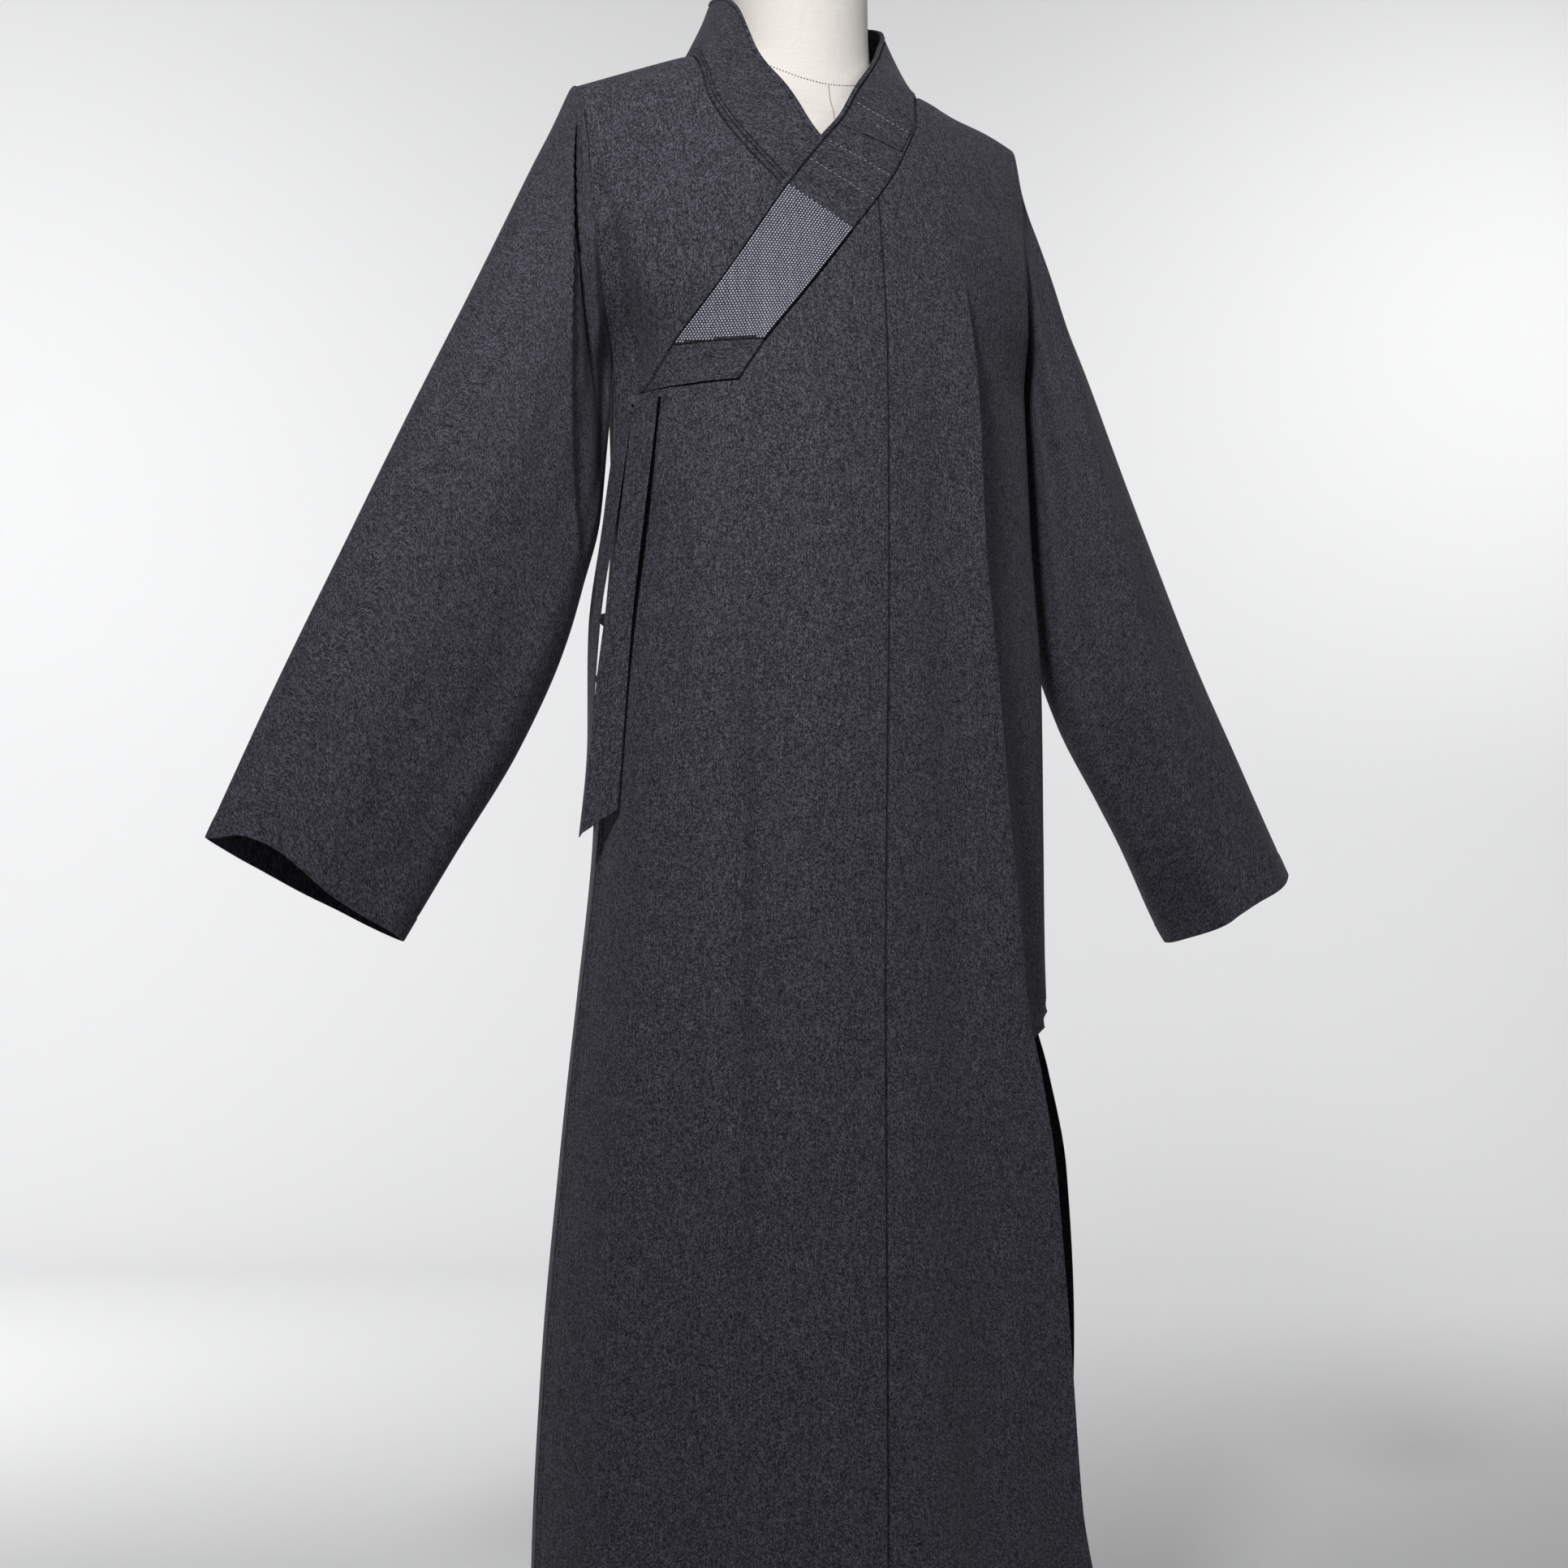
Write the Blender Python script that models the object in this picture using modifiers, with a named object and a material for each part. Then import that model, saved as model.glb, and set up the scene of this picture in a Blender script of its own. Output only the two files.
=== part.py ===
"""A monk's long crossover robe standing on a limbless dress form.

Metres, +Z up, the front faces -Y. Right and left are the wearer's, so the right side is at -X.
The origin is the centre of the stand's underside, on the floor. Each cut piece of the robe is one closed wall
of cloth, 0.3 mm from its neighbours at the seams. The outside of the body is one smooth surface, worked out
from a table of levels and a table of folds, and every panel, band and tie is laid out on it.
"""
import math

import bpy
import numpy as np

# Driving dimensions
SHOULDER_Z = 1.440      # neck end of the shoulder fold
UNDERARM_Z = 1.170
HEM_Z = 0.090
SLIT_Z = 0.645          # top of the left side slit, below which the front's edge swings forward
SLIT_SWING = 0.200      # drop over which it swings
SLIT_MARGIN = 7.0       # degrees that it hangs beyond the ridge on the left front
NECK_SIDE_X = 0.106     # where the collar crosses the shoulder fold
SHOULDER_SLOPE = 0.39
SHOULDER_SOFTNESS = 0.010
NECK_BACK_RISE = 0.024  # the back neckline stands this much above the shoulder fold
CLOTH = 0.0012          # wall of one layer of suiting
UNDER_BAND = 0.0018
OVER_BAND = 0.0022
OVERLAY = 0.0010
QUILTED = 0.0020        # several layers, stitched through
TIE = 0.0016
SEAM_GAP = 0.0003
UNDER_STEP = 0.0032     # depth of the under layer below the outer one
BAND_RAISE = 0.0013     # the over band stands this much proud of the panels

# One row for each level of the body, read between the rows by a smooth curve
LEVELS = (
    # level, right half, left half, front, back, armhole front, armhole back, roundness
    (1.440, 0.203, 0.203, 0.000, 0.000, 0.000, 0.000, 2.0),
    (1.433, 0.203, 0.203, 0.042, 0.055, 0.020, 0.022, 2.0),
    (1.405, 0.204, 0.204, 0.078, 0.094, 0.041, 0.044, 2.0),
    (1.360, 0.203, 0.205, 0.100, 0.112, 0.056, 0.058, 1.8),
    (1.300, 0.199, 0.206, 0.117, 0.122, 0.058, 0.060, 1.4),
    (1.235, 0.188, 0.205, 0.127, 0.128, 0.038, 0.042, 1.15),
    (1.170, 0.172, 0.204, 0.134, 0.130, 0.000, 0.000, 1.0),
    (1.050, 0.170, 0.211, 0.138, 0.131, 0.000, 0.000, 1.0),
    (0.920, 0.173, 0.220, 0.141, 0.132, 0.000, 0.000, 1.0),
    (0.790, 0.179, 0.225, 0.145, 0.135, 0.000, 0.000, 1.0),
    (0.650, 0.195, 0.231, 0.150, 0.139, 0.000, 0.000, 1.0),
    (0.500, 0.211, 0.254, 0.156, 0.144, 0.000, 0.000, 1.0),
    (0.350, 0.225, 0.265, 0.161, 0.149, 0.000, 0.000, 1.0),
    (0.200, 0.233, 0.270, 0.165, 0.153, 0.000, 0.000, 1.0),
    (0.090, 0.235, 0.273, 0.167, 0.155, 0.000, 0.000, 1.0),
)

# Lines that the panels' columns follow, as an angle round the body from the centre front or back
GUIDES = (
    # level, centre front seam, ridge on the left front, ridge on the overlap, ridge on the back left, back right
    (1.440, 6.0, 45.0, -45.0, 40.0, -38.0),
    (1.250, 6.5, 31.0, -38.0, 38.0, -36.0),
    (1.035, 5.8, 32.4, -36.0, 37.0, -34.0),
    (0.810, 4.9, 38.0, -34.0, 39.0, -33.0),
    (0.500, 2.8, 44.0, -30.0, 42.0, -33.0),
    (0.230, 2.0, 55.0, -28.0, 46.0, -35.0),
    (0.090, 2.0, 62.0, -27.0, 48.0, -36.0),
)

# Hanging folds of the body, as soft ridges (+) and troughs (-), each along a line from its top to its low end
FOLDS = (
    # side, top, low end, angle at top, middle, low end, height at top, low end, half width in degrees
    ("front", 1.300, 0.090, 30.0, 39.0, 61.0, 0.0040, 0.0080, 7.0),
    ("front", 1.250, 0.090, 50.0, 57.0, 77.0, -0.0040, -0.0110, 8.0),
    ("front", 1.340, 0.300, 70.0, 71.0, 80.0, 0.0050, 0.0030, 7.0),
    ("front", 1.000, 0.090, -35.0, -33.0, -27.0, 0.0015, 0.0060, 5.0),
    ("front", 0.980, 0.090, -27.5, -26.0, -19.0, -0.0030, -0.0050, 6.0),
    ("front", 1.020, 0.090, -62.0, -60.0, -56.0, 0.0020, 0.0070, 9.0),
    ("front", 0.900, 0.090, 20.0, 22.0, 26.0, -0.0015, -0.0060, 8.0),
    ("back", 1.300, 0.090, 37.0, 39.0, 48.0, 0.0040, 0.0140, 7.0),
    ("back", 1.220, 0.090, 22.0, 24.0, 30.0, -0.0030, -0.0090, 8.0),
    ("back", 1.100, 0.090, 56.0, 60.0, 66.0, -0.0040, -0.0100, 7.0),
    ("back", 1.280, 0.090, -35.0, -33.0, -36.0, 0.0050, 0.0120, 7.0),
    ("back", 1.180, 0.090, -52.0, -50.0, -54.0, -0.0040, -0.0110, 8.0),
    ("back", 1.050, 0.090, -18.0, -17.0, -15.0, -0.0030, -0.0080, 7.0),
)

# Sleeves, from the armhole to the cuff: the folded top edge, the bottom edge and the half depth between them
RIGHT_SLEEVE = (
    # top x, top z, bottom x, bottom z, half depth
    (0.2030, 1.403, 0.1720, 1.170, 0.060),
    (0.2180, 1.370, 0.1765, 1.110, 0.060),
    (0.2340, 1.338, 0.1800, 1.050, 0.059),
    (0.2840, 1.233, 0.1940, 0.990, 0.056),
    (0.3350, 1.129, 0.2120, 0.933, 0.051),
    (0.3900, 1.013, 0.2490, 0.853, 0.045),
    (0.4440, 0.898, 0.3000, 0.770, 0.038),
    (0.4965, 0.780, 0.3420, 0.700, 0.030),
)
LEFT_SLEEVE = (
    # top x, top z, bottom x, bottom z, half depth
    (0.2030, 1.403, 0.2040, 1.170, 0.060),
    (0.2170, 1.362, 0.2160, 1.090, 0.060),
    (0.2430, 1.292, 0.2230, 1.020, 0.058),
    (0.2720, 1.222, 0.2320, 0.960, 0.056),
    (0.3280, 1.097, 0.2560, 0.893, 0.054),
    (0.3850, 0.972, 0.2900, 0.828, 0.051),
    (0.4380, 0.871, 0.3310, 0.758, 0.048),
    (0.4920, 0.770, 0.3720, 0.703, 0.045),
)

# Lengthwise folds of the sleeves, at a share of the way from the top edge to the bottom edge
SLEEVE_FOLDS = (
    # sleeve, side, share at the armhole, share at the cuff, height at the armhole, height at the cuff, half width
    ("right", "front", 0.30, 0.42, 0.0060, 0.0020, 0.12),
    ("right", "front", 0.66, 0.78, -0.0080, -0.0030, 0.11),
    ("right", "back", 0.40, 0.50, 0.0060, 0.0030, 0.13),
    ("right", "back", 0.74, 0.70, -0.0060, -0.0030, 0.10),
    ("left", "front", 0.45, 0.36, 0.0050, 0.0070, 0.12),
    ("left", "front", 0.72, 0.66, -0.0060, -0.0080, 0.10),
    ("left", "back", 0.35, 0.45, 0.0060, 0.0030, 0.12),
    ("left", "back", 0.70, 0.72, -0.0050, -0.0040, 0.11),
)

# Collar bands from the centre back to the lower end. A blank depth means that the edge lies on the body
OVER_COLLAR = (
    # seam x, seam level, edge x, edge y, edge z, how far the band lies down on the body
    (0.0000, 1.425, 0.0000, 0.064, 1.522, 0.0),
    (0.0560, 1.426, 0.0430, 0.056, 1.518, 0.0),
    (0.0920, 1.431, 0.0700, 0.036, 1.509, 0.0),
    (0.1060, 1.440, 0.0790, 0.006, 1.495, 0.0),
    (0.0950, 1.434, 0.0645, -0.020, 1.469, 0.0),
    (0.0790, 1.412, 0.0400, -0.055, 1.436, 0.0),
    (0.0717, 1.386, 0.0200, -0.074, 1.411, 0.2),
    (0.0577, 1.359, -0.0040, -0.088, 1.375, 0.8),
    (0.0383, 1.327, -0.0235, None, 1.353, 1.0),
    (-0.0020, 1.275, -0.0538, None, 1.307, 1.0),
    (-0.0390, 1.228, -0.0970, None, 1.249, 1.0),
    (-0.0769, 1.179, -0.1429, None, 1.179, 1.0),
    (-0.0960, 1.148, -0.1604, None, 1.146, 1.0),
)
UNDER_COLLAR = (
    # seam x, seam level, edge x, edge y, edge z, how far the band lies down on the body
    (0.0000, 1.425, 0.0000, 0.064, 1.522, 0.0),
    (-0.0560, 1.426, -0.0430, 0.056, 1.518, 0.0),
    (-0.0920, 1.431, -0.0690, 0.034, 1.509, 0.0),
    (-0.1060, 1.440, -0.0765, 0.002, 1.497, 0.0),
    (-0.1100, 1.420, -0.0705, -0.028, 1.478, 0.0),
    (-0.1100, 1.396, -0.0570, -0.050, 1.437, 0.0),
    (-0.1020, 1.368, -0.0415, -0.072, 1.403, 0.4),
    (-0.0856, 1.341, -0.0280, None, 1.368, 1.0),
    (-0.0590, 1.309, -0.0070, None, 1.337, 1.0),
    (-0.0200, 1.262, 0.0250, None, 1.299, 1.0),
    (0.0150, 1.220, 0.0550, None, 1.262, 1.0),
)
TABS_START = 4.5        # rows of the over collar where the stitched tabs begin, meet and end
TABS_MIDDLE = 5.6
TABS_END = 7.3
OVERLAY_TRIM = 0.02     # rows between two overlays that meet
PATCH_START = 9         # rows of the over collar where the quilted patch begins and ends
PATCH_END = 11
COLLAR_END = 12

# The two flat ties, hanging from the closing at the right side
FRONT_TIE = (
    # z, x and y of the edge nearer the front, facing in degrees from the front, width
    (1.143, -0.1512, -0.0712, 64.0, 0.027),
    (1.050, -0.1588, -0.0590, 62.0, 0.028),
    (0.950, -0.1680, -0.0520, 52.0, 0.029),
    (0.850, -0.1745, -0.0465, 42.0, 0.030),
    (0.808, -0.1768, -0.0440, 37.0, 0.031),
)
BACK_TIE = (
    # z, x and y of the edge nearer the front, facing in degrees from the front, width
    (1.128, -0.1654, -0.0441, 72.0, 0.020),
    (1.050, -0.1735, -0.0330, 80.0, 0.025),
    (0.960, -0.1870, -0.0150, 86.0, 0.028),
    (0.880, -0.1905, -0.0050, 82.0, 0.028),
    (0.800, -0.1945, 0.0000, 72.0, 0.028),
)
TIE_POINT = 0.020       # the slanted end is this much longer on its outer side

# Knot buttons with their loops on the right side edge
BUTTON_RADIUS = 0.0046
LOOP_RADIUS = 0.0012
LOOP_REACH = 0.014
BUTTONS = (
    # name, z, angle round the body
    ("closing", 1.1395, -76.0),
    ("side_upper", 0.965, -87.0),
    ("side_lower", 0.916, -87.0),
)

# Dress form: rings from the top of the neck down to the hips
FORM = (
    # level, half width, front, back, lowered at the front
    (1.5300, 0.0560, 0.0560, 0.0560, 0.000),
    (1.5260, 0.0580, 0.0580, 0.0580, 0.000),
    (1.4800, 0.0584, 0.0586, 0.0586, 0.004),
    (1.4580, 0.0600, 0.0600, 0.0610, 0.018),
    (1.4460, 0.0700, 0.0640, 0.0700, 0.033),
    (1.4385, 0.0880, 0.0670, 0.0760, 0.038),
    (1.4364, 0.1180, 0.0710, 0.0820, 0.044),
    (1.4378, 0.1550, 0.0730, 0.0850, 0.048),
    (1.4376, 0.1800, 0.0740, 0.0860, 0.050),
    (1.4340, 0.1900, 0.0750, 0.0870, 0.050),
    (1.4250, 0.1930, 0.0770, 0.0890, 0.047),
    (1.4050, 0.1930, 0.0820, 0.0930, 0.038),
    (1.3700, 0.1850, 0.0920, 0.0980, 0.024),
    (1.3100, 0.1660, 0.1040, 0.1030, 0.010),
    (1.2300, 0.1540, 0.1120, 0.1050, 0.000),
    (1.1500, 0.1450, 0.1080, 0.1030, 0.000),
    (1.0400, 0.1300, 0.0950, 0.0960, 0.000),
    (0.9600, 0.1330, 0.0960, 0.1000, 0.000),
    (0.8800, 0.1480, 0.1030, 0.1130, 0.000),
    (0.8100, 0.1510, 0.1040, 0.1150, 0.000),
    (0.7920, 0.1460, 0.1000, 0.1110, 0.000),
    (0.7900, 0.1380, 0.0930, 0.1040, 0.000),
)
FORM_FILL = 0.78        # share of the robe's depth that the form's shoulders fill
FORM_CLEARANCE = 0.0040
FORM_SEGMENTS = 32
POLE_RADIUS = 0.0125
BASE_RADIUS = 0.150
BASE_HEIGHT = 0.014
BASE_BEVEL = 0.004

# Angles and steps of the panels' columns and rows
ROW_STEP = 0.7          # a collar row of its own is this far from any that a neighbour shares
OVERLAP_SIDE = -85.0    # the outer overlap ends just short of the side
UNDER_EDGE = 4.0        # hidden front edge of the right front
ARMHOLE_STEPS = (0.0, 0.045, 0.085, 0.125, 0.165, 0.21, 0.26, 0.31, 0.36, 0.405, 0.445, 0.485)
SKIRT_LEVELS = (1.170, 1.110, 1.050, 0.985, 0.920, 0.855, 0.790, 0.720, 0.645, 0.570, 0.490, 0.410, 0.330,
                0.250, 0.170, 0.090)
OVERLAP_ROWS = (9.0, 9.5, 10.0, 10.5, 11.0)  # collar rows at which a column of the overlap starts
OVERLAP_REST = (1.0, 1.14, 1.30, 1.46, 1.62, 1.78, 1.90, 2.0)
LEFT_COLUMNS = (0.0, 0.2, 0.4, 0.58, 0.72, 0.84, 0.92, 1.0, 1.10, 1.22, 1.36, 1.50, 1.64, 1.78, 1.90, 2.0)
BACK_COLUMNS = (0.0, 0.2, 0.4, 0.58, 0.74, 0.88, 1.0, 1.12, 1.26, 1.42, 1.58, 1.74, 1.88, 2.0)
CROSS_STEPS = (0.0, 0.06, 0.3, 0.5, 0.7, 0.94, 1.0)
SLEEVE_RINGS = (0.0, 0.04, 0.10, 0.18, 0.27, 0.36, 0.45, 0.54, 0.63, 0.72, 0.81, 0.90, 1.0)

COLORS = {
    # material: base colour, roughness, metallic
    "suiting": ((0.050, 0.050, 0.060, 1.0), 0.90, 0.0),
    "quilting": ((0.200, 0.205, 0.225, 1.0), 0.85, 0.0),
    "linen": ((0.790, 0.740, 0.640, 1.0), 0.85, 0.0),
    "knot_black": ((0.012, 0.012, 0.014, 1.0), 0.80, 0.0),
    "stand_steel": ((0.450, 0.450, 0.460, 1.0), 0.35, 1.0),
    "stand_iron": ((0.030, 0.030, 0.032, 1.0), 0.50, 0.0),
}


def smooth_curve(keys, values):
    """A smooth curve through a table's column that never swings past its values."""
    step = np.diff(keys)
    slope = np.diff(values) / step
    tangent = np.zeros(len(keys))
    tangent[0], tangent[-1] = slope[0], slope[-1]
    for i in range(1, len(keys) - 1):
        if slope[i - 1] * slope[i] > 0:
            before, after = 2 * step[i] + step[i - 1], step[i] + 2 * step[i - 1]
            tangent[i] = (before + after) / (before / slope[i - 1] + after / slope[i])

    def at(key):
        key = min(max(key, keys[0]), keys[-1])
        i = min(max(int(np.searchsorted(keys, key)) - 1, 0), len(keys) - 2)
        t = (key - keys[i]) / step[i]
        rise = (3 * t ** 2 - 2 * t ** 3) * (values[i + 1] - values[i])
        start = (t ** 3 - 2 * t ** 2 + t) * step[i] * tangent[i]
        end = (t ** 3 - t ** 2) * step[i] * tangent[i + 1]
        return values[i] + rise + start + end

    return at


def level_key(level):
    """Levels are read by the root of their drop, which rounds the cloth over the shoulder."""
    return math.sqrt(max(SHOULDER_Z - level, 0.0))


def column_curves(table, keys):
    return [smooth_curve(keys, [row[i] for row in table]) for i in range(len(table[0]))]


ARMHOLE_KEYS = ARMHOLE_STEPS + (level_key(UNDERARM_Z),)
LEVEL_KEYS = [level_key(row[0]) for row in LEVELS]
_, RIGHT_HALF, LEFT_HALF, FRONT, BACK, ARM_FRONT, ARM_BACK, ROUNDNESS = column_curves(LEVELS, LEVEL_KEYS)
GUIDE_KEYS = [level_key(row[0]) for row in GUIDES]
_, SEAM_ANGLE, LEFT_RIDGE, OVERLAP_RIDGE, BACK_LEFT_RIDGE, BACK_RIGHT_RIDGE = column_curves(GUIDES, GUIDE_KEYS)


def ease(share):
    share = min(max(share, 0.0), 1.0)
    return share * share * (3 - 2 * share)


def mix(low, high, share):
    return low + (high - low) * share


def half_width(angle, key):
    return RIGHT_HALF(key) if angle < 0 else LEFT_HALF(key)


def angle_at(x, key):
    half = RIGHT_HALF(key) if x < 0 else LEFT_HALF(key)
    return math.degrees(math.asin(min(max(x / half, -1.0), 1.0)))


def shoulder_drop(x, side):
    """How far the shoulder fold has fallen at x, and how far the back neckline rises."""
    past_neck = abs(x) - NECK_SIDE_X
    drop = SHOULDER_SLOPE * (past_neck + math.hypot(past_neck, SHOULDER_SOFTNESS)) / 2
    if side == "back":
        drop -= NECK_BACK_RISE * max(0.0, 1 - (x / NECK_SIDE_X) ** 2)
    return drop


def plain_point(side, angle, key):
    """A point of the body without its folds. The angle is -90 at the right side and 90 at the left."""
    turn = math.radians(angle)
    round_share = max(math.cos(turn), 0.0) ** ROUNDNESS(key)
    x = half_width(angle, key) * math.sin(turn)
    if side == "front":
        y = -mix(ARM_FRONT(key), FRONT(key), round_share)
    else:
        y = mix(ARM_BACK(key), BACK(key), round_share)
    level = SHOULDER_Z - key * key
    near_shoulder = ease((level - UNDERARM_Z) / (SHOULDER_Z - UNDERARM_Z))
    return np.array((x, y, level - shoulder_drop(x, side) * near_shoulder))


def fold_height(side, angle, key):
    level = SHOULDER_Z - key * key
    height = 0.0
    for where, top, low, at_top, at_middle, at_low, high_top, high_low, width in FOLDS:
        if where != side or level > top:
            continue
        share = (top - level) / (top - low)
        bend = 4 * (at_middle - (at_top + at_low) / 2) * share * (1 - share)
        centre = mix(at_top, at_low, share) + bend
        swell = mix(high_top, high_low, share) * ease((top - level) / 0.18)
        height += swell * math.exp(-((angle - centre) / width) ** 2)
    # The folds die out at the side seams, where front and back meet
    return height * ease((90.0 - abs(angle)) / 12.0)


def unit(vector):
    return vector / max(np.linalg.norm(vector), 1e-12)


def plain_normal(side, angle, key):
    turn, step = 1.0, 0.004
    low_angle, high_angle = max(angle - turn, -90.0), min(angle + turn, 90.0)
    low_key, high_key = max(key - step, 0.0), key + step
    across = plain_point(side, high_angle, key) - plain_point(side, low_angle, key)
    down = plain_point(side, angle, high_key) - plain_point(side, angle, low_key)
    normal = np.cross(across, down)
    return unit(-normal if side == "front" else normal)


def folded_point(side, angle, key):
    return plain_point(side, angle, key) + plain_normal(side, angle, key) * fold_height(side, angle, key)


def body_normal(side, angle, key):
    """Outward normal of the body, with its folds."""
    turn, step = 0.8, 0.006
    low_angle, high_angle = max(angle - turn, -90.0), min(angle + turn, 90.0)
    low_key, high_key = max(key - step, 0.0), min(key + step, level_key(HEM_Z))
    across = folded_point(side, high_angle, key) - folded_point(side, low_angle, key)
    down = folded_point(side, angle, high_key) - folded_point(side, angle, low_key)
    normal = np.cross(across, down)
    return unit(-normal if side == "front" else normal)


def under_share(angle, key):
    """0 where the right front shows as the outer layer, 1 where it lies under the overlap."""
    level = SHOULDER_Z - key * key
    return ease((1.432 - level) / 0.055) * ease((angle + 90.0) / (OVERLAP_SIDE + 90.0))


def body_point(side, angle, key, layer="outer"):
    """A point on the outside of a layer of the body, and the normal there."""
    normal = body_normal(side, angle, key)
    point = folded_point(side, angle, key)
    if layer == "under":
        point = point - normal * UNDER_STEP * under_share(angle, key)
    half_gap = SEAM_GAP / 2
    point[1] += -half_gap if side == "front" else half_gap
    return point, normal


def sleeve_sign(name):
    return -1.0 if name == "right" else 1.0


def sleeve_curves(table):
    return column_curves(table, list(np.linspace(0.0, 1.0, len(table))))


SLEEVES = {"right": sleeve_curves(RIGHT_SLEEVE), "left": sleeve_curves(LEFT_SLEEVE)}


def sleeve_plain(name, side, length, share):
    """A point of a sleeve: length runs from armhole to cuff, share from the top edge to the bottom edge."""
    top_x, top_z, bottom_x, bottom_z, depth = (curve(length) for curve in SLEEVES[name])
    key = armhole_key(share)
    at_armhole = ARM_FRONT(key) if side == "front" else ARM_BACK(key)
    edge = plain_point(side, 90.0 * sleeve_sign(name), key)
    root_x = mix(SLEEVES[name][0](0.0), SLEEVES[name][2](0.0), share)
    x = mix(top_x, bottom_x, share) + (abs(edge[0]) - root_x) * (1 - ease(length / 0.5))
    round_depth = depth * 2 * math.sqrt(max(share * (1 - share), 0.0))
    y = mix(at_armhole, round_depth, ease(length / 0.35))
    return np.array((x * sleeve_sign(name), -y if side == "front" else y, mix(top_z, bottom_z, share)))


def armhole_key(share):
    """The level key of the armhole point that lies this share of the way from shoulder to underarm."""
    corner = plain_point("front", 90.0, 0.0)[2]
    target = mix(corner, UNDERARM_Z, share)
    low, high = 0.0, level_key(UNDERARM_Z)
    for _ in range(24):
        middle = (low + high) / 2
        if plain_point("front", 90.0, middle)[2] > target:
            low = middle
        else:
            high = middle
    return (low + high) / 2


def armhole_share(key):
    corner = plain_point("front", 90.0, 0.0)[2]
    return (corner - plain_point("front", 90.0, key)[2]) / (corner - UNDERARM_Z)


def sleeve_folded(name, side, length, share):
    point = sleeve_plain(name, side, length, share)
    height = 0.0
    for sleeve, where, at_armhole, at_cuff, high_armhole, high_cuff, width in SLEEVE_FOLDS:
        if sleeve == name and where == side:
            centre = mix(at_armhole, at_cuff, length)
            swell = mix(high_armhole, high_cuff, length) * ease(length / 0.2)
            height += swell * math.exp(-((share - centre) / width) ** 2)
    height *= ease(min(share, 1 - share) / 0.1)
    point[1] += -height if side == "front" else height
    return point


def sleeve_normal(name, side, length, share):
    low_length, high_length = max(length - 0.01, 0.0), min(length + 0.01, 1.0)
    low_share, high_share = max(share - 0.02, 0.0), min(share + 0.02, 1.0)
    along = sleeve_folded(name, side, high_length, share) - sleeve_folded(name, side, low_length, share)
    if share <= 0.0 or share >= 1.0:
        across = np.array((0.0, 1.0, 0.0))
        normal = unit(np.cross(along, across))
        return normal * (1 if (normal[2] > 0) == (share <= 0.0) else -1)
    across = sleeve_folded(name, side, length, high_share) - sleeve_folded(name, side, length, low_share)
    normal = unit(np.cross(along, across))
    faces_out = normal[1] < 0 if side == "front" else normal[1] > 0
    return normal if faces_out else -normal


def armhole_normal(name, side, key):
    """The normal that body and sleeve share along the armhole, so that their walls stay parallel."""
    body = body_normal(side, 90.0 * sleeve_sign(name), key)
    sleeve = sleeve_normal(name, side, 0.02, min(max(armhole_share(key), 0.0), 1.0))
    return unit(body + sleeve)


class Cloth:
    """Gathers points and faces of one wall of cloth, then makes the object."""

    def __init__(self, name, material, wall):
        self.name, self.material, self.wall = name, material, wall
        self.index = {}
        self.points = []
        self.normals = []
        self.faces = []

    def add(self, point, normal):
        place = tuple(round(float(c), 6) for c in point)
        if place not in self.index:
            self.index[place] = len(self.points)
            self.points.append(np.array(point, float))
            self.normals.append(unit(np.array(normal, float)))
        return self.index[place]

    def grid(self, rows, closed=False):
        """Adds a grid of (point, normal) rows. Corners that fall together make triangles."""
        numbers = [[self.add(*corner) for corner in row] for row in rows]
        for upper, lower in zip(numbers, numbers[1:]):
            count = len(upper)
            for i in range(count if closed else count - 1):
                j = (i + 1) % count
                loop = []
                for corner in (upper[i], upper[j], lower[j], lower[i]):
                    if corner not in loop:
                        loop.append(corner)
                if len(loop) > 2:
                    self.faces.append(loop)

    def winding(self):
        """Positive where the faces turn the same way as the normals."""
        total = 0.0
        for face in self.faces:
            a, b, c = (self.points[i] for i in face[:3])
            total += float(np.dot(np.cross(b - a, c - a), self.normals[face[0]]))
        return total

    def build(self, collection):
        """The outer face, the inner face one wall below it, and the rim that joins them."""
        count = len(self.points)
        inner = [p - n * self.wall for p, n in zip(self.points, self.normals)]
        edges = {}
        for face in self.faces:
            for a, b in zip(face, face[1:] + face[:1]):
                edges[(a, b)] = True
        rim = [[b, a, a + count, b + count] for a, b in edges if (b, a) not in edges]
        inner_faces = [[i + count for i in reversed(face)] for face in self.faces]
        mesh = bpy.data.meshes.new(self.name)
        faces = self.faces + inner_faces + rim
        if self.winding() < 0:
            faces = [list(reversed(face)) for face in faces]
        mesh.from_pydata([tuple(p) for p in self.points + inner], [], faces)
        return finish_mesh(mesh, self.name, self.material, collection)


def finish_mesh(mesh, name, material, collection):
    """Shades the mesh smooth and makes the object."""
    mesh.shade_smooth()
    mesh.set_sharp_from_angle(angle=math.radians(40))
    mesh.materials.append(material)
    piece = bpy.data.objects.new(name, mesh)
    collection.objects.link(piece)
    return piece


def collar_curves(table, side_of_front):
    """Curves of a collar band's seam and edge along its rows."""
    rows = []
    for i, (seam_x, seam_level, edge_x, edge_y, edge_z, lying) in enumerate(table):
        if edge_y is None:
            key = level_key(edge_z)
            edge_y = body_point("front", angle_at(edge_x, key), key, side_of_front)[0][1]
        rows.append((seam_x, seam_level, edge_x, edge_y, edge_z, lying))
    return column_curves(rows, list(range(len(rows))))


OVER = collar_curves(OVER_COLLAR, "outer")
UNDER = collar_curves(UNDER_COLLAR, "under")
NECK_ROW = 3            # row of both collar tables at the shoulder fold


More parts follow.
